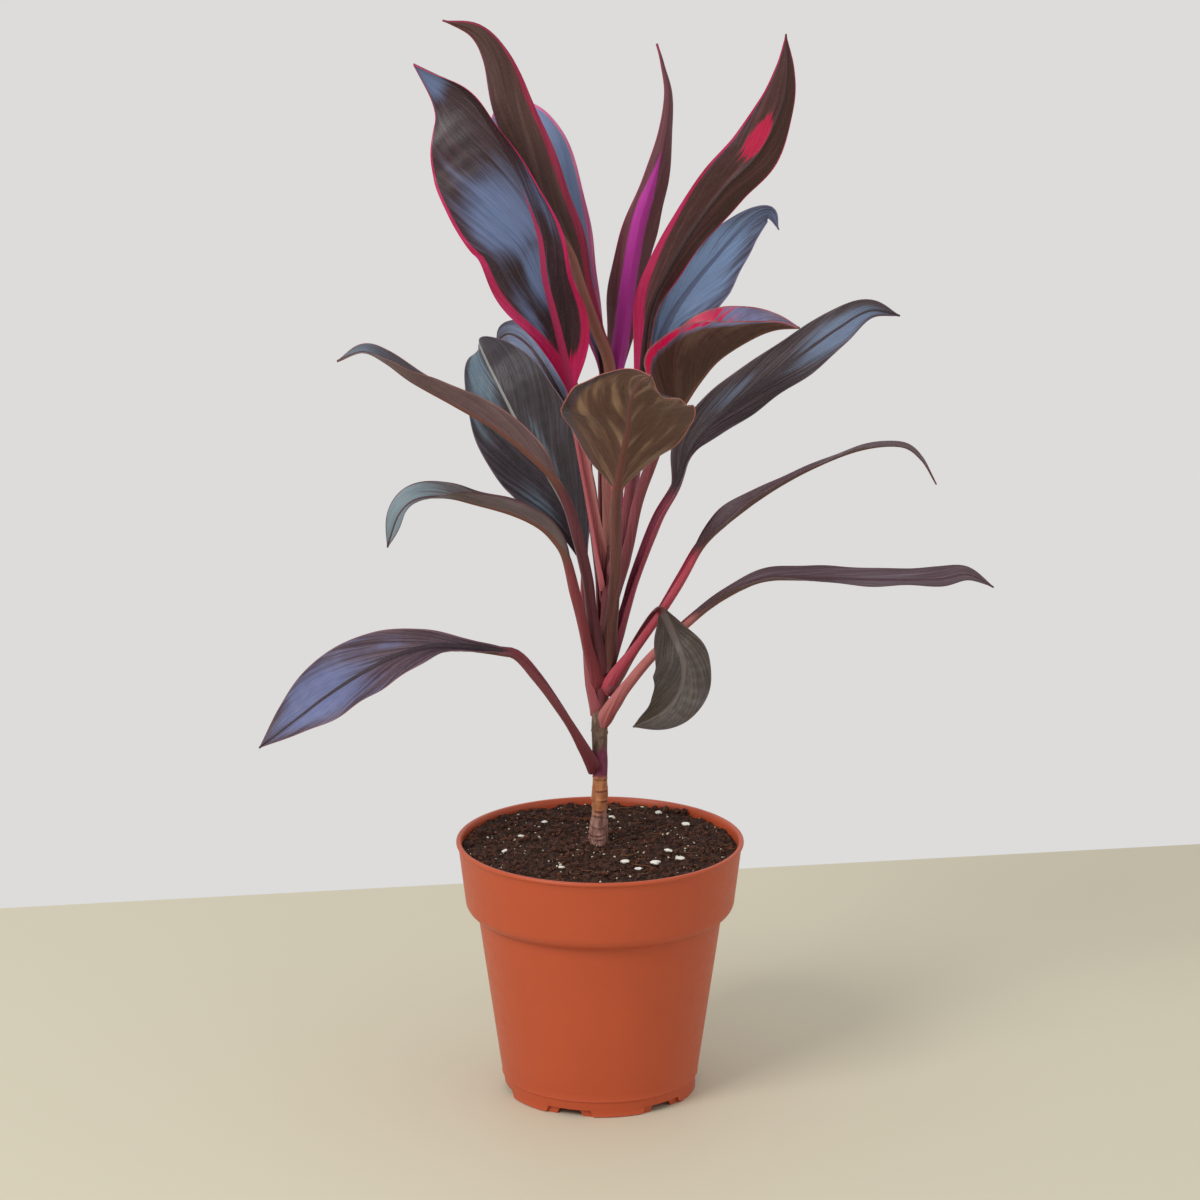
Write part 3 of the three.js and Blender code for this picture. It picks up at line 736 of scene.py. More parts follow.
def make_stem(stem):
    rows, columns = 420, 44
    curve, _ = spline(STEM_PATH)
    run, place = walk(curve)
    wheres = np.linspace(0, run[-1], rows)
    radii, _ = spline([(r, 0, 0) for r in STEM_RADII], 20)
    radii = np.interp(wheres / run[-1], np.linspace(0, 1, len(radii)), radii[:, 0])
    points, heights, scars = [], [], []
    for i, where in enumerate(wheres):
        centre = place(where)
        ahead = place(min(where + 1, run[-1])) - place(max(where - 1, 0))
        ahead /= np.linalg.norm(ahead)
        across = np.cross((0, -1, 0), ahead)
        across /= np.linalg.norm(across)
        deep = np.cross(ahead, across)
        for j in range(columns):
            angle = 2 * math.pi * j / columns
            ridge = sum(math.exp(-((centre[2] - z - tilt * math.cos(angle - turn)) / 0.55) ** 2)
                        for z, tilt, turn in STEM_SCARS)
            groove = sum(math.exp(-((centre[2] - z + 1.1 - tilt * math.cos(angle - turn)) / 0.4) ** 2)
                         for z, tilt, turn in STEM_SCARS)
            lump_here = noise.noise(Vector(centre) * 0.12 + Vector((math.cos(angle), math.sin(angle), 0)))
            part = min(1.0, max(0.0, 0.5 + 2.2 * noise.noise(Vector((angle, centre[2] * 0.21, 3.0)))))
            ridge, groove = ridge * part, groove * part
            radius = radii[i] + 0.3 * lump_here + (ridge - 0.5 * groove) * stem.scar_height / MM
            points.append((centre + radius * (math.cos(angle) * across + math.sin(angle) * deep)) * MM)
            heights.append(centre[2])
            scars.append(min(1.0, groove))
    faces = grid_faces(rows, columns)
    faces += [tuple(range(columns))[::-1], tuple((rows - 1) * columns + j for j in range(columns))]
    thing = piece_from("stem_cane", points, faces, "stem", [bark_finish(stem)])
    write_attribute(thing, "height_mm", heights)
    write_attribute(thing, "scar", scars)
    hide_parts("stem")


# ---------- leaves ----------
# Shape, in millimetres and degrees: path from the stem to the tip along the midrib, and joint,
# the point on it where the blade starts; left and right, half widths at even steps along the
# blade; roll and fold at the stem, blade foot, blade middle and tip. Roll 0 turns the upper side
# to the front and 180 to the back, and fold lifts both halves towards the upper side.
# In a look, edge_left and edge_right are the widths of the coloured margins and rib_width that of
# the midrib, at the blade's foot, middle and tip. A patch or a spot of painted sheen is a soft round
# mark: its place along the blade and across it, from -1 at the left margin to 1 at the right, how
# far it spreads each way and, for a spot of painted sheen, its strength.
# The bluish sheen colour of each look, its amount and its spots are a painted sheen, a painted reflection
# of the light on the waxy upper side and, where set, on the underside; under_sheen is a painted sheen on
# the underside.
PLAIN_LOOK = {
    "upper": "#2e1c24", "tint": "#493540", "bloom": "#71839f", "bloom_amount": 0.6,
    "under": "#4b3026", "under_tint": "#5f4032", "under_sheen": "#8a6a54", "under_glow": 0.2,
    "edge": "#4e3036", "edge_tint": "#6a464c", "edge_left": (1.0, 0.6, 0.4),
    "edge_right": (1.0, 0.6, 0.4), "rib": "#4c3038", "rib_under": "#6e4238",
    "rib_width": (2.4, 1.2, 0.4), "stalk": "#6e2f38", "stalk_tint": "#8d4650",
    "blush": "#c81450", "blush_reach": 0.0, "blush_side": "both", "patches": (),
    "blooms": ((0.6, 0.0, 0.35, 1.0, 0.6),), "bloom_under": 0.0, "rib_end": 2.0, "coat": 0.08,
}
LEAVES = {
    "leaf_low_left": dict(
        path=[(-5, 1, 174), (-9, -5, 188), (-15, -10, 203), (-23, -14, 217), (-33, -17, 232),
              (-43, -20, 244), (-52, -23, 247), (-71, -28, 251), (-89, -32, 252),
              (-107, -37, 248), (-124, -42, 240), (-141, -48, 230), (-158, -54, 218),
              (-175, -60, 206)],
        joint=6, left=[3, 8, 13, 17, 18, 15, 8, 0], right=[3, 5, 10, 16, 19, 17, 10, 0],
        roll=(125, 60, 40, 30), fold=(45, 45, 20, 10), slot="leaf_blue",
        look=dict(upper="#3e2c36", tint="#65505a", bloom="#6f7fb2", bloom_amount=0.95,
                  blooms=((0.72, 0.1, 0.26, 1.2, 0.95), (0.4, 0.5, 0.1, 0.4, 0.4)),
                  rib="#33242c", edge="#6d4a58", edge_tint="#84606c", stalk="#6f3038",
                  stalk_tint="#8c4048")),
    "leaf_low_right": dict(
        path=[(2, -2, 200), (7, -6, 211), (15, -8, 225), (30, -9, 244), (52, -8, 264), (68, -7, 275),
              (86, -6, 282), (109, -5, 282), (130, -3, 281), (153, -1, 280), (177, 1, 280),
              (192, 2, 282), (206, 3, 275)],
        joint=4, left=[3, 4, 7, 8, 8, 8, 7, 0], right=[3, 6, 8, 8, 8, 8, 7, 0],
        roll=(-165, -75, -70, -60), fold=(45, 50, 15, 10), slot="leaf_brown",
        look=dict(upper="#453138", tint="#6a545c", bloom="#77717f", bloom_amount=0.4,
                  under="#4a363a", under_tint="#66505a", stalk="#8e4248", stalk_tint="#b86c68")),
    "leaf_small_drooping": dict(
        path=[(6, 1, 216), (13, 2, 232), (22, 0, 249), (30, -6, 263), (33, -18, 266), (39, -34, 256),
              (43, -40, 245), (41, -44, 232), (32, -46, 221), (17, -46, 213)],
        joint=4, left=[3, 7, 12, 15, 15, 12, 7, 0], right=[3, 8, 13, 16, 16, 13, 7, 0],
        roll=(-90, 0, 0, 0), fold=(45, 40, 20, 20), slot="leaf_brown",
        look=dict(upper="#352c28", tint="#50453d", bloom="#5f5a50", bloom_amount=0.35,
                  rib="#5c504a", edge="#40332f", edge_tint="#5c4a46", coat=0.05)),
    "leaf_arched_left": dict(
        path=[(-3, 1, 220), (-6, -7, 240), (-9, -18, 260), (-13, -28, 280), (-18, -38, 302),
              (-24, -42, 313), (-32, -46, 321), (-45, -50, 328), (-63, -54, 334), (-78, -57, 338),
              (-93, -59, 337), (-102, -60, 329), (-108, -60, 312)],
        joint=4, left=[3, 7, 9, 9, 9, 9, 7, 0], right=[3, 7, 9, 9, 9, 9, 7, 0],
        roll=(125, 105, 100, 30), fold=(45, 60, 45, 10), slot="leaf_brown",
        look=dict(upper="#4d4648", tint="#6a6264", bloom="#7f9aa4", bloom_amount=0.9,
                  blooms=((0.85, 0.0, 0.25, 1.5, 1.0),), bloom_under=0.8,
                  under="#54464a", under_tint="#716264", stalk="#7c3038", stalk_tint="#a04a4c")),
    "leaf_thin_right": dict(
        path=[(5, 0, 217), (11, -2, 231), (21, -3, 247), (32, -4, 264), (43, -5, 283), (52, -6, 299),
              (63, -7, 311), (85, -8, 328), (109, -9, 342), (134, -10, 352), (155, -11, 354),
              (166, -12, 347), (174, -13, 334)],
        joint=5, left=[3, 8, 6, 4, 5, 6, 5, 0], right=[3, 8, 6, 4, 5, 6, 5, 0],
        roll=(-125, -60, -95, -90), fold=(45, 50, 10, 10), slot="leaf_brown",
        look=dict(upper="#4a3238", tint="#604850", bloom="#6f6874", bloom_amount=0.3,
                  under="#4a3238", under_tint="#5e444a", stalk="#98263e", stalk_tint="#b84858")),
    "leaf_strap_left": dict(
        path=[(-1, -1, 226), (-3, -6, 246), (-5, -12, 266), (-7, -21, 287), (-15, -32, 323),
              (-24, -40, 343), (-36, -44, 357), (-53, -49, 372), (-73, -54, 385), (-94, -59, 398),
              (-108, -62, 409), (-119, -63, 414), (-132, -62, 409)],
        joint=5, left=[3, 9, 11, 11, 10, 9, 6, 0], right=[3, 8, 10, 10, 10, 9, 6, 0],
        roll=(135, 120, 115, 60), fold=(45, 60, 50, 25), slot="leaf_brown",
        look=dict(upper="#48404a", tint="#5e585e", bloom="#6f8296", bloom_amount=0.8,
                  blooms=((0.95, 0.0, 0.15, 1.5, 1.0),), bloom_under=0.7,
                  under="#563e42", under_tint="#755c5e", edge="#7c5450", edge_tint="#96706a",
                  stalk="#5e2a34", stalk_tint="#80404a")),
    "leaf_long_right": dict(
        path=[(6, 2, 228), (10, 5, 247), (14, 8, 263), (19, 11, 280), (30, 16, 308), (40, 20, 325),
              (46, 22, 343), (55, 24, 355), (76, 27, 372), (101, 31, 390), (124, 35, 406),
              (141, 38, 415), (157, 40, 412)],
        joint=5, left=[3, 10, 13, 13, 12, 11, 8, 0], right=[3, 9, 13, 14, 14, 13, 8, 0],
        roll=(-75, -40, -30, -40), fold=(45, 40, 20, 20), slot="leaf_blue",
        look=dict(upper="#352a2e", tint="#5c4c52", bloom="#7b93b4", bloom_amount=0.95,
                  blooms=((0.78, 0.2, 0.2, 0.8, 1.0), (0.35, -0.4, 0.16, 0.4, 0.5)),
                  rib="#3c2e34", edge="#5c4450", edge_tint="#77606c", stalk="#7a2440",
                  stalk_tint="#a04054")),
    "leaf_broad_left": dict(
        path=[(-4, 3, 205), (-6, 4, 228), (-7, 8, 252), (-8, 15, 270), (-9, 22, 285), (-18, 30, 310),
              (-27, 36, 326), (-36, 41, 340), (-44, 46, 354), (-52, 52, 369),
              (-59, 61, 381), (-63, 73, 387), (-65, 86, 388)],
        joint=4, left=[3, 13, 22, 25, 24, 19, 11, 0], right=[3, 12, 21, 27, 29, 25, 14, 0],
        roll=(95, 10, 0, 0), fold=(45, 40, 20, 10), slot="leaf_blue",
        look=dict(upper="#251e24", tint="#3e343c", bloom="#7490a2", bloom_amount=0.85,
                  blooms=((0.78, -0.5, 0.22, 0.5, 0.95), (0.25, -0.5, 0.16, 0.5, 0.45),
                          (0.45, 0.25, 0.2, 0.14, 0.6)),
                  rib="#8c8c88", rib_width=(1.2, 0.9, 0.5), edge="#5a4a58",
                  edge_tint="#6c5c68", stalk="#96464e", stalk_tint="#bc7472")),
    "leaf_back_left": dict(
        path=[(3, 9, 250), (1, 20, 270), (-2, 31, 295), (-6, 42, 326), (-15, 54, 351),
              (-25, 66, 371), (-37, 78, 387), (-48, 90, 392), (-56, 100, 386)],
        joint=3, left=[3, 10, 15, 17, 17, 15, 10, 0], right=[3, 7, 11, 13, 14, 12, 8, 0],
        roll=(10, 0, 0, 0), fold=(45, 40, 20, 10), slot="leaf_blue",
        look=dict(upper="#50506a", tint="#686a80", bloom="#8b9cba", bloom_amount=0.8,
                  blooms=((0.6, 0.0, 0.5, 1.5, 0.8),))),
    "leaf_front": dict(
        path=[(4, -2, 230), (5, -5, 250), (7, -10, 270), (8, -17, 292), (8, -26, 316), (9, -40, 338),
              (11, -52, 355), (14, -72, 376), (15, -96, 395), (19, -120, 410), (25, -140, 418)],
        joint=5, left=[4, 20, 31, 34, 31, 24, 15, 0], right=[4, 25, 35, 35, 31, 23, 13, 0],
        roll=(180, 180, 180, 180), fold=(45, 30, 10, -5), slot="leaf_brown",
        look=dict(under="#4c3026", under_tint="#664436", under_sheen="#a8886c", under_glow=0.7,
                  edge="#a4584c", edge_tint="#c07868", rib_under="#693a30",
                  stalk="#5c3430", stalk_tint="#7c4c44")),
    "leaf_back_right": dict(
        path=[(7, 10, 264), (12, 18, 295), (19, 26, 335), (29, 32, 390), (36, 36, 410),
              (47, 42, 426), (61, 52, 441), (76, 64, 455), (89, 72, 461), (94, 66, 453)],
        joint=3, left=[3, 8, 12, 13, 12, 9, 5, 0], right=[3, 14, 20, 19, 15, 11, 6, 0],
        roll=(-30, -20, -10, 0), fold=(45, 45, 15, 10), slot="leaf_blue",
        look=dict(upper="#3e3c4c", tint="#5c6480", bloom="#84a2cc", bloom_amount=0.95,
                  blooms=((0.45, -0.1, 0.45, 1.0, 1.0),), rib="#54607e",
                  edge="#6e5c78", edge_tint="#84749a")),
    "leaf_curled_right": dict(
        path=[(9, 4, 268), (15, -6, 298), (21, -16, 330), (35, -24, 368), (42, -26, 379),
              (50, -30, 392), (60, -36, 405), (76, -44, 417), (88, -50, 423), (100, -56, 425)],
        joint=3, left=[4, 19, 29, 32, 28, 20, 10, 0], right=[4, 22, 33, 32, 25, 15, 7, 0],
        roll=(-110, -110, -105, -100), fold=(45, 75, 60, 45), slot="leaf_brown",
        look=dict(upper="#5a4c60", tint="#706680", bloom="#8088b4", bloom_amount=0.8,
                  blooms=((0.65, 0.0, 0.2, 1.5, 0.9),),
                  under="#3a211a", under_tint="#523027", edge="#8a4048", edge_tint="#aa6670",
                  edge_left=(1.4, 0.9, 0.6), edge_right=(1.4, 0.9, 0.6), blush="#c60444",
                  blush_reach=0.55, blush_side="upper")),
    "leaf_back_upright": dict(
        path=[(3, 11, 262), (2, 19, 300), (2, 25, 342), (2, 28, 382), (-1, 32, 406), (-6, 38, 431),
              (-14, 46, 459), (-24, 56, 483), (-36, 70, 499), (-48, 90, 503), (-54, 106, 494)],
        joint=3, left=[3, 9, 16, 19, 20, 19, 14, 0], right=[3, 4, 6, 9, 13, 17, 15, 0],
        roll=(20, 0, 0, 10), fold=(45, 50, 20, 10), slot="leaf_blue",
        look=dict(upper="#4c4e6c", tint="#6b7092", bloom="#86a2d2", bloom_amount=0.95,
                  blooms=((0.6, 0.0, 0.6, 1.5, 1.0),),
                  edge="#d0568e", edge_tint="#e58ab4", edge_left=(3, 1.2, 0.4),
                  edge_right=(5, 2.6, 0.6))),
    "leaf_big_left": dict(
        path=[(1, 9, 272), (-2, 6, 302), (-9, 2, 347), (-15, -4, 383), (-22, -9, 416),
              (-28, -12, 441), (-31, -13, 464), (-41, -12, 490), (-54, -8, 515),
              (-71, 0, 536), (-95, 8, 548)],
        joint=3, left=[3, 13, 27, 36, 40, 38, 24, 0], right=[3, 20, 22, 16, 13, 12, 8, 0],
        roll=(60, 0, -20, -50), fold=(45, 40, 25, 35), slot="leaf_crimson",
        look=dict(upper="#241016", tint="#3e2228", bloom="#6f86b2", bloom_amount=0.95,
                  blooms=((0.95, -0.2, 0.06, 1.0, 1.0), (0.5, -0.35, 0.17, 0.5, 1.0),
                          (0.33, -0.15, 0.12, 0.25, 0.9), (0.52, 0.5, 0.13, 0.5, 0.55),
                          (0.22, -0.55, 0.12, 0.2, 0.7)),
                  edge="#a4053e", edge_tint="#bc1c5e", edge_left=(9, 2.0, 0.4),
                  edge_right=(10, 1.4, 0.8), rib="#9c1e4c", rib_width=(2.4, 1.3, 0.4),
                  rib_end=0.42,
                  stalk="#b45a62", stalk_tint="#d08884", blush="#b80648", blush_reach=0.09,
                  under="#4a2a2c", under_tint="#6a4040")),
    "leaf_big_right": dict(
        path=[(9, 3, 278), (14, -3, 312), (18, -8, 350), (21, -10, 386), (25, -12, 423),
              (35, -16, 447), (47, -19, 468), (63, -22, 490), (80, -24, 508), (91, -26, 531),
              (94, -26, 550), (93, -24, 568)],
        joint=3, left=[4, 6, 8, 12, 14, 11, 6, 0], right=[4, 7, 11, 12, 14, 15, 10, 0],
        roll=(-130, -165, -165, -170), fold=(45, 40, 15, 15), slot="leaf_maroon",
        look=dict(under="#351815", under_tint="#4c2623", under_sheen="#74464c", under_glow=0.4,
                  edge="#a0053c", edge_tint="#b41a5a", edge_left=(1.6, 0.7, 0.5),
                  edge_right=(9.0, 1.6, 0.6), rib_under="#2c1412", rib_width=(1.6, 0.8, 0.3),
                  blush="#b40840", blush_reach=0.1, patches=((0.72, 0.3, 0.08, 0.36),))),
    "leaf_tall_left": dict(
        path=[(6, 12, 284), (4, 13, 332), (5, 9, 387), (-2, 6, 411), (-9, 4, 432),
              (-16, 6, 454), (-27, 10, 475), (-38, 16, 501), (-47, 24, 524), (-54, 32, 548),
              (-64, 38, 561), (-81, 42, 566)],
        joint=2, left=[4, 5, 8, 13, 15, 13, 8, 0], right=[4, 7, 10, 11, 10, 9, 6, 0],
        roll=(170, 160, 170, 200), fold=(45, 50, 25, 20), slot="leaf_maroon",
        look=dict(under="#3a1d18", under_tint="#532f27", edge="#880e34", edge_tint="#a02448",
                  edge_left=(4, 4.5, 1.0), edge_right=(1.0, 0.6, 0.4), rib_under="#9c6456",
                  rib_width=(3.6, 1.4, 0.4), rib_end=0.3, stalk="#a4605c", stalk_tint="#c88a80")),
    "leaf_narrow_upright": dict(
        path=[(9, 12, 288), (9, 15, 332), (8, 16, 378), (11, 14, 404), (15, 12, 436),
              (20, 12, 465), (27, 14, 488), (33, 18, 510), (35, 24, 530), (32, 30, 545),
              (29, 34, 555)],
        joint=2, left=[4, 11, 14, 14, 12, 8, 3, 0], right=[4, 9, 12, 9, 6, 4, 2, 0],
        roll=(-150, -170, -170, -150), fold=(45, 50, 30, 30), slot="leaf_crimson",
        look=dict(under="#54222c", under_tint="#6e3640", edge="#7e1c3c", edge_tint="#a03858",
                  rib_under="#b02c94", rib_width=(5.0, 4.2, 0.8), rib_end=0.55, stalk="#a81c5c",
                  stalk_tint="#c03c90", blush_reach=0.05)),
}
# Half width of the sheath that clasps the stem and of the stalk, in millimetres, the share of the
# stalk that is sheath, and how much further it folds, in degrees.
SHEATH_GRIP, STALK_HALF, SHEATH_SHARE, SHEATH_FOLD = 8.5, 3.0, 0.4, 12
FOOT_THICK, STALK_THICK, BLADE_THICK = 0.7, 1.7, 0.45
LEAST_HALF, BROAD_HALF = 0.3, 12
RIB_GROOVE = 0.35
STALK_ROWS, SOFT_ROWS = 30, 6


def along_leaf(values, s):
    """Value at s, where -1 is the stem, 0 the blade's foot and 1 the tip."""
    return np.interp(s, (-1, 0, 0.5, 1), values)


def half_widths(widths, s):
    """Half width of the stalk and blade at each s."""
    shaped, marks = spline([(w, 0, 0) for w in widths], 12)
    blade = np.interp(s * (len(widths) - 1), marks, shaped[:, 0])
    clasp = np.clip((-s - 1 + SHEATH_SHARE) / SHEATH_SHARE, 0, 1)
    stalk = STALK_HALF + (SHEATH_GRIP - STALK_HALF) * clasp ** 1.6
    stalk = stalk * np.sqrt(np.clip(1 - ((-s - 0.93) / 0.075).clip(0) ** 2, 0.02, 1))
    return np.where(s < 0, stalk, np.maximum(blade, STALK_HALF * np.clip(1 - 4 * s, 0, 1)))


def column_places(half, rib, columns):
    """Where the columns of each half lie, from midrib 0 to margin 1, with four on the rib."""
    rib_share = np.clip(rib / half, 0.02, 0.6)[:, None]
    on_rib = rib_share * np.array([0.0, 0.35, 0.7, 1.0])
    beyond = rib_share + (1 - rib_share) * np.linspace(0, 1, columns - 3)[1:]
    return np.hstack([on_rib, beyond])


def spot(along, across, centre, offset, tall, wide):
    """A soft round mark on a leaf: 1 in its middle, falling to 0 round it."""
    return np.exp(-((along - centre) / tall) ** 2 - ((across - offset) / wide) ** 2)


def leaf_spine(leaf, s):
    """Middle, side, up and fold of the leaf's row at each s."""
    curve, marks = spline(leaf["path"])
    run, place = walk(curve)
    foot = np.interp(leaf["joint"], marks, run)
    where = np.where(s < 0, (s + 1) * foot, foot + s * (run[-1] - foot))
    ahead = place(np.minimum(where + 2, run[-1])) - place(np.maximum(where - 2, 0))
    ahead /= np.linalg.norm(ahead, axis=1)[:, None]
    front = np.array((0.0, -1.0, 0.0))
    front = front - (ahead @ front)[:, None] * ahead
    front /= np.linalg.norm(front, axis=1)[:, None]
    side = np.cross(ahead, front)
    roll = np.radians(softened(along_leaf(leaf["roll"], s), SOFT_ROWS))[:, None]
    clasp = SHEATH_FOLD * np.clip(-s * 5 - 4, 0, 1)
    fold = np.radians(softened(along_leaf(leaf["fold"], s) + clasp, SOFT_ROWS))[:, None]
    up = front * np.cos(roll) + side * np.sin(roll)
    return place(where), side * np.cos(roll) - front * np.sin(roll), up, fold


def leaf_relief(s, share, half, sign, phase, settings):
    """How far the upper side stands off its plain surface: waves at the margin, folds along the
    veins."""
    swell = np.clip(s * 12, 0, 1) * np.minimum(1, half / BROAD_HALF)
    wave = np.sin(s * 17 + phase[0] + sign) * 0.6 + np.sin(s * 31 + phase[1] * sign) * 0.4
    wave = wave * swell * settings.wave / MM
    vein = s[:, None] - VEIN_SLANT * share ** VEIN_CURVE
    pleat = np.sin(vein * 70 + phase[2] * sign) + 0.6 * np.sin(vein * 113 + phase[3])
    pleat = pleat * settings.ripple / MM * swell[:, None]
    return wave[:, None] * share ** 2.2 + 1.2 * pleat * share * (1 - share)


def leaf_half(s, spine, share, half, rib, sign, phase, settings):
    """Upper and lower points of one half of a leaf, with columns from midrib to margin."""
    middle, side, up, fold = spine
    reach = share * half[:, None]
    rounded = np.interp(s, (-1, 0, 0.25, 1), (1, 0.9, 0.35, 0.35))[:, None]
    bend = fold * ((1 - rounded) * np.minimum(1, 6 * share) + 2 * rounded * share)
    turn = (bend[:, 1:] + bend[:, :-1]) / 2
    stride = np.diff(reach, axis=1)
    midrib = np.zeros((len(s), 1))
    out = np.hstack([midrib, np.cumsum(stride * np.cos(turn), axis=1)])
    rise = np.hstack([midrib, np.cumsum(stride * np.sin(turn), axis=1)])
    face = (up[:, None] * np.cos(bend)[:, :, None]
            - sign * side[:, None] * np.sin(bend)[:, :, None])
    groove = np.exp(-(reach / np.maximum(rib, 0.3)[:, None]) ** 2) * np.clip(s * 12, 0, 1)[:, None]
    lift = leaf_relief(s, share, half, sign, phase, settings) - RIB_GROOVE * groove
    upper = (middle[:, None] + sign * side[:, None] * out[:, :, None]
             + up[:, None] * rise[:, :, None] + lift[:, :, None] * face)
    thick = np.interp(s, (-0.96, -0.8, -0.25, 0.02),
                      (FOOT_THICK, STALK_THICK, STALK_THICK, BLADE_THICK))[:, None]
    belly = 1 - np.minimum(1, reach / (rib[:, None] * 1.05)) ** 2
    ridge = np.interp(s, (-1, 0, 0.6, 1), (0.4, 1.5, 0.5, 0.1))[:, None] * belly
    skin = thick * (1 - 0.55 * share ** 2) + ridge
    return upper, upper - skin[:, :, None] * face


def around_leaf(left_upper, right_upper, left_lower, right_lower):
    """One ring per row: along the upper side from margin to margin, and back below."""
    return np.concatenate([left_upper[:, :0:-1], right_upper, right_lower[:, ::-1], left_lower],
                          axis=1)


def leaf_faces(rows, ring):
    """Faces of the leaf's skin, and of its flat ends at the stem and the tip."""
    faces = grid_faces(rows, ring)
    last = (rows - 1) * ring
    for j in range(ring // 2 - 1):
        quad = (j, j + 1, ring - 2 - j, ring - 1 - j)
        faces += [quad[::-1], tuple(last + c for c in quad)]
    return faces


def mark_leaf(thing, look, s, halves, columns):
    """Writes where each point lies on its leaf, and the painted sheen and the blush that it carries."""
    left, right = halves
    around = {key: around_leaf(left[key], right[key], left[key], right[key]) for key in left}
    across = around["across"]
    along = np.repeat(s[:, None], across.shape[1], axis=1)
    below = np.zeros(across.shape)
    below[:, 2 * columns + 1:] = 1
    blush = np.clip(1 - along / max(look["blush_reach"] * 2, 0.001), 0, 1) * (along >= 0)
    if look["blush_side"] == "upper":
        blush *= 1 - below
    for patch in look["patches"]:
        blush = np.maximum(blush, spot(along, across, *patch))
    # Spots of painted sheen: a painted reflection of the light on the leaf.
    bloom = np.zeros(across.shape)
    for *place, strength in look["blooms"]:
        bloom = np.maximum(bloom, strength * spot(along, across, *place))
    around.update(bloom=bloom, along=along, under=below, blush=blush,
                  stalk=np.clip(-along * 12, 0, 1))
    for key, values in around.items():
        write_attribute(thing, key, values.ravel())


def make_leaf(name, leaf, settings, seed):
    look = {**PLAIN_LOOK, **leaf["look"]}
    s = np.r_[np.linspace(-1, 0, STALK_ROWS + 1)[:-1], np.linspace(0, 1, settings.rows + 1)]
    spine = leaf_spine(leaf, s)
    rib = np.interp(s, (-1, 0, 0.5, 1), (look["rib_width"][0], *look["rib_width"]))
    rib_fade = np.clip((s - look["rib_end"]) / 0.15, 0, 2)[:, None]
    rng = random.Random(seed)
    phase = [rng.uniform(0, 6.3) for _ in range(4)]
    skins, halves = [], []
    for sign, hand in ((-1, "left"), (1, "right")):
        half = np.maximum(half_widths(leaf[hand], s), LEAST_HALF)
        share = column_places(half, rib, settings.columns)
        reach = share * half[:, None]
        skins.append(leaf_half(s, spine, share, half, rib, sign, phase, settings))
        edge = np.interp(s, (-1, 0, 0.5, 1), (1, *look["edge_" + hand]))
        halves.append(dict(across=sign * share, margin=(half[:, None] - reach) / edge[:, None],
                           rib=reach / np.maximum(rib, 0.2)[:, None] + rib_fade))
    (left_upper, left_lower), (right_upper, right_lower) = skins
    points = around_leaf(left_upper, right_upper, left_lower, right_lower)
    thing = piece_from(name + "_blade", points.reshape(-1, 3) * MM,
                       leaf_faces(len(s), points.shape[1]), leaf["slot"],
                       [leaf_finish(name, look, settings, seed)], 60.0)
    mark_leaf(thing, look, s, halves, settings.columns)
    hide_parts(name)


# ---------- stage ----------
TABLE_EDGE, TABLE_TURN = 0.35, math.radians(9.7)
SURROUND_STRENGTH, FILL_SHARE = 0.86, 0.05
LIGHTS_AIM = Vector((0, 0, 0.28))


def make_floor(stage):
    """A pale table top whose far edge runs behind the pot."""
    corners = [(-3.0, -3.2), (3.0, -3.2), (3.0, TABLE_EDGE), (-3.0, TABLE_EDGE)]
    mesh = bpy.data.meshes.new("floor")
    spin = Matrix.Rotation(TABLE_TURN, 4, "Z")
    mesh.from_pydata([spin @ Vector((x, y, 0)) for x, y in corners], [], [(0, 1, 2, 3)])
    floor = bpy.data.objects.new("floor", mesh)
    bpy.context.scene.collection.objects.link(floor)
    n = Nodes("pale_table")
    cloud = n.noise(n.place(), 1.5, 3.0)
    colour = n.mix(cloud, toned(stage.floor, 0.96), tuple(stage.floor))
    mesh.materials.append(n.finish(colour, 0.6, specular=0.3))


def make_lights(stage):
    """A large soft key on the upper left, a weak fill on the right, and a pale surround."""
    world = bpy.data.worlds.new("surround")
    bpy.context.scene.world = world
    world.use_nodes = True
    sky = world.node_tree.nodes["Background"]
    sky.inputs["Color"].default_value = tuple(stage.wall)
    sky.inputs["Strength"].default_value = SURROUND_STRENGTH
    for name, place, size, power in (
            ("key", (-1.5, -1.6, 1.9), 1.1, stage.key),
            ("fill", (1.9, -1.5, 1.0), 1.4, stage.key * FILL_SHARE)):
        light = bpy.data.lights.new(name, "AREA")
        light.size, light.energy = size, power
        lamp = bpy.data.objects.new(name, light)
        lamp.location = place
        lamp.rotation_euler = (LIGHTS_AIM - Vector(place)).to_track_quat("-Z", "Y").to_euler()
        bpy.context.scene.collection.objects.link(lamp)


def make_camera(stage):
    camera = bpy.data.cameras.new("camera")
    camera.lens, camera.sensor_width = stage.lens, 36.0
    camera.clip_start, camera.clip_end = 0.05, 50.0
    holder = bpy.data.objects.new("camera", camera)
    holder.location = (0.0, -stage.distance, stage.height)
    holder.rotation_euler = (math.pi / 2 - stage.tilt, 0.0, 0.0)
    bpy.context.scene.collection.objects.link(holder)
    bpy.context.scene.camera = holder
    bpy.context.scene.view_settings.view_transform = "Standard"


# ---------- operators ----------
class PLANT_OT_pot(bpy.types.Operator):
    """Build the moulded nursery pot"""
    bl_idname = "cordyline.pot"
    bl_label = "Pot"

    def execute(self, context):
        make_pot(context.scene.cordyline.pot)
        return {"FINISHED"}


class PLANT_OT_soil(bpy.types.Operator):
    """Build the soil with its crumbs, fibres and specks"""
    bl_idname = "cordyline.soil"
    bl_label = "Soil"

    def execute(self, context):
        plant = context.scene.cordyline
        make_soil(plant.soil, plant.pot)
        make_litter(plant.soil, plant.pot)
        return {"FINISHED"}


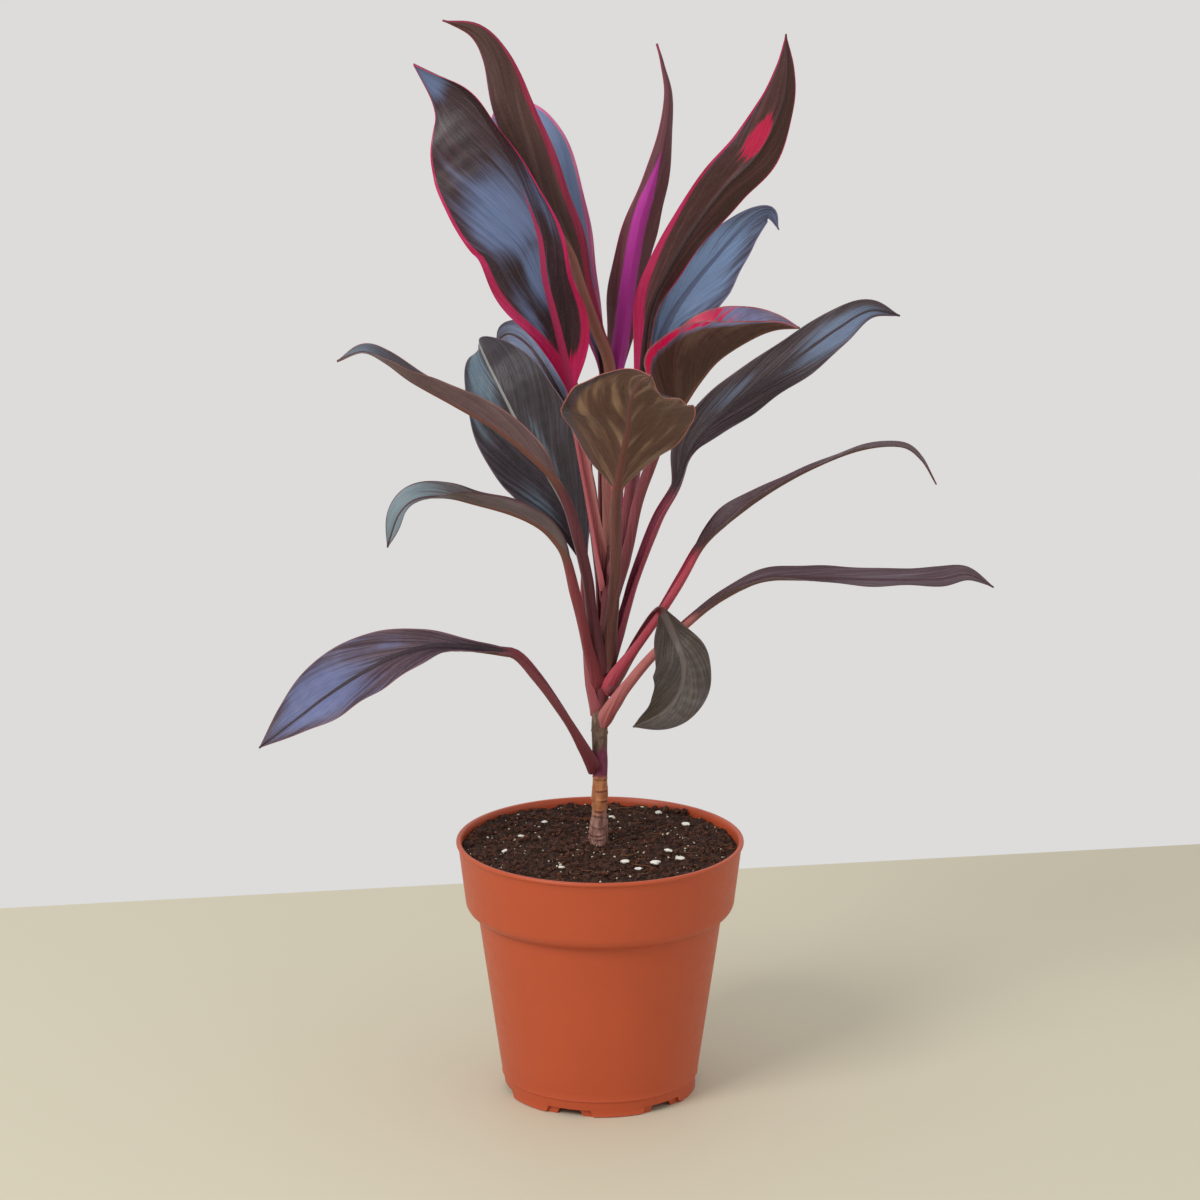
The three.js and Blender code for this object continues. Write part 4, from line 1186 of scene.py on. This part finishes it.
class PLANT_OT_perlite(bpy.types.Operator):
    """Build the larger grains of perlite"""
    bl_idname = "cordyline.perlite"
    bl_label = "Perlite"

    def execute(self, context):
        make_perlite(context.scene.cordyline.soil)
        return {"FINISHED"}


class PLANT_OT_roots(bpy.types.Operator):
    """Give the roots in the soil their skin"""
    bl_idname = "cordyline.roots"
    bl_label = "Roots"

    def execute(self, context):
        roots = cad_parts["roots"]
        roots.data.materials.clear()
        roots.data.materials.append(root_finish())
        return {"FINISHED"}


class PLANT_OT_stem(bpy.types.Operator):
    """Build the cane with its leaf scars"""
    bl_idname = "cordyline.stem"
    bl_label = "Stem"

    def execute(self, context):
        make_stem(context.scene.cordyline.stem)
        return {"FINISHED"}


class PLANT_OT_leaves(bpy.types.Operator):
    """Build every leaf with its stalk"""
    bl_idname = "cordyline.leaves"
    bl_label = "Leaves"

    def execute(self, context):
        for seed, (name, leaf) in enumerate(LEAVES.items()):
            make_leaf(name, leaf, context.scene.cordyline.leaf, seed)
        return {"FINISHED"}


class PLANT_OT_stage(bpy.types.Operator):
    """Set up the floor, the lights and the camera"""
    bl_idname = "cordyline.stage"
    bl_label = "Stage"

    def execute(self, context):
        stage = context.scene.cordyline.stage
        make_floor(stage)
        make_lights(stage)
        make_camera(stage)
        return {"FINISHED"}


OPERATORS = (PLANT_OT_pot, PLANT_OT_soil, PLANT_OT_perlite, PLANT_OT_roots, PLANT_OT_stem,
             PLANT_OT_leaves, PLANT_OT_stage)


class PLANT_PT_panel(bpy.types.Panel):
    """Lists the plant's operators and settings"""
    bl_label = "Cordyline"
    bl_idname = "PLANT_PT_panel"
    bl_space_type = "VIEW_3D"
    bl_region_type = "UI"
    bl_category = "Cordyline"

    def draw(self, context):
        for operator in OPERATORS:
            self.layout.operator(operator.bl_idname)
        for group in ("pot", "soil", "stem", "leaf", "stage"):
            settings = getattr(context.scene.cordyline, group)
            box = self.layout.box()
            for key in settings.__annotations__:
                box.prop(settings, key)


CLASSES = (PotSettings, SoilSettings, StemSettings, LeafSettings, StageSettings, PlantSettings,
           *OPERATORS, PLANT_PT_panel)


def register():
    for item in CLASSES:
        bpy.utils.register_class(item)
    bpy.types.Scene.cordyline = PointerProperty(type=PlantSettings)


def unregister():
    del bpy.types.Scene.cordyline
    for item in reversed(CLASSES):
        bpy.utils.unregister_class(item)


def main():
    register()
    bpy.ops.cordyline.pot()
    bpy.ops.cordyline.soil()
    bpy.ops.cordyline.perlite()
    bpy.ops.cordyline.roots()
    bpy.ops.cordyline.stem()
    bpy.ops.cordyline.leaves()
    bpy.ops.cordyline.stage()


if __name__ == "__main__":
    main()
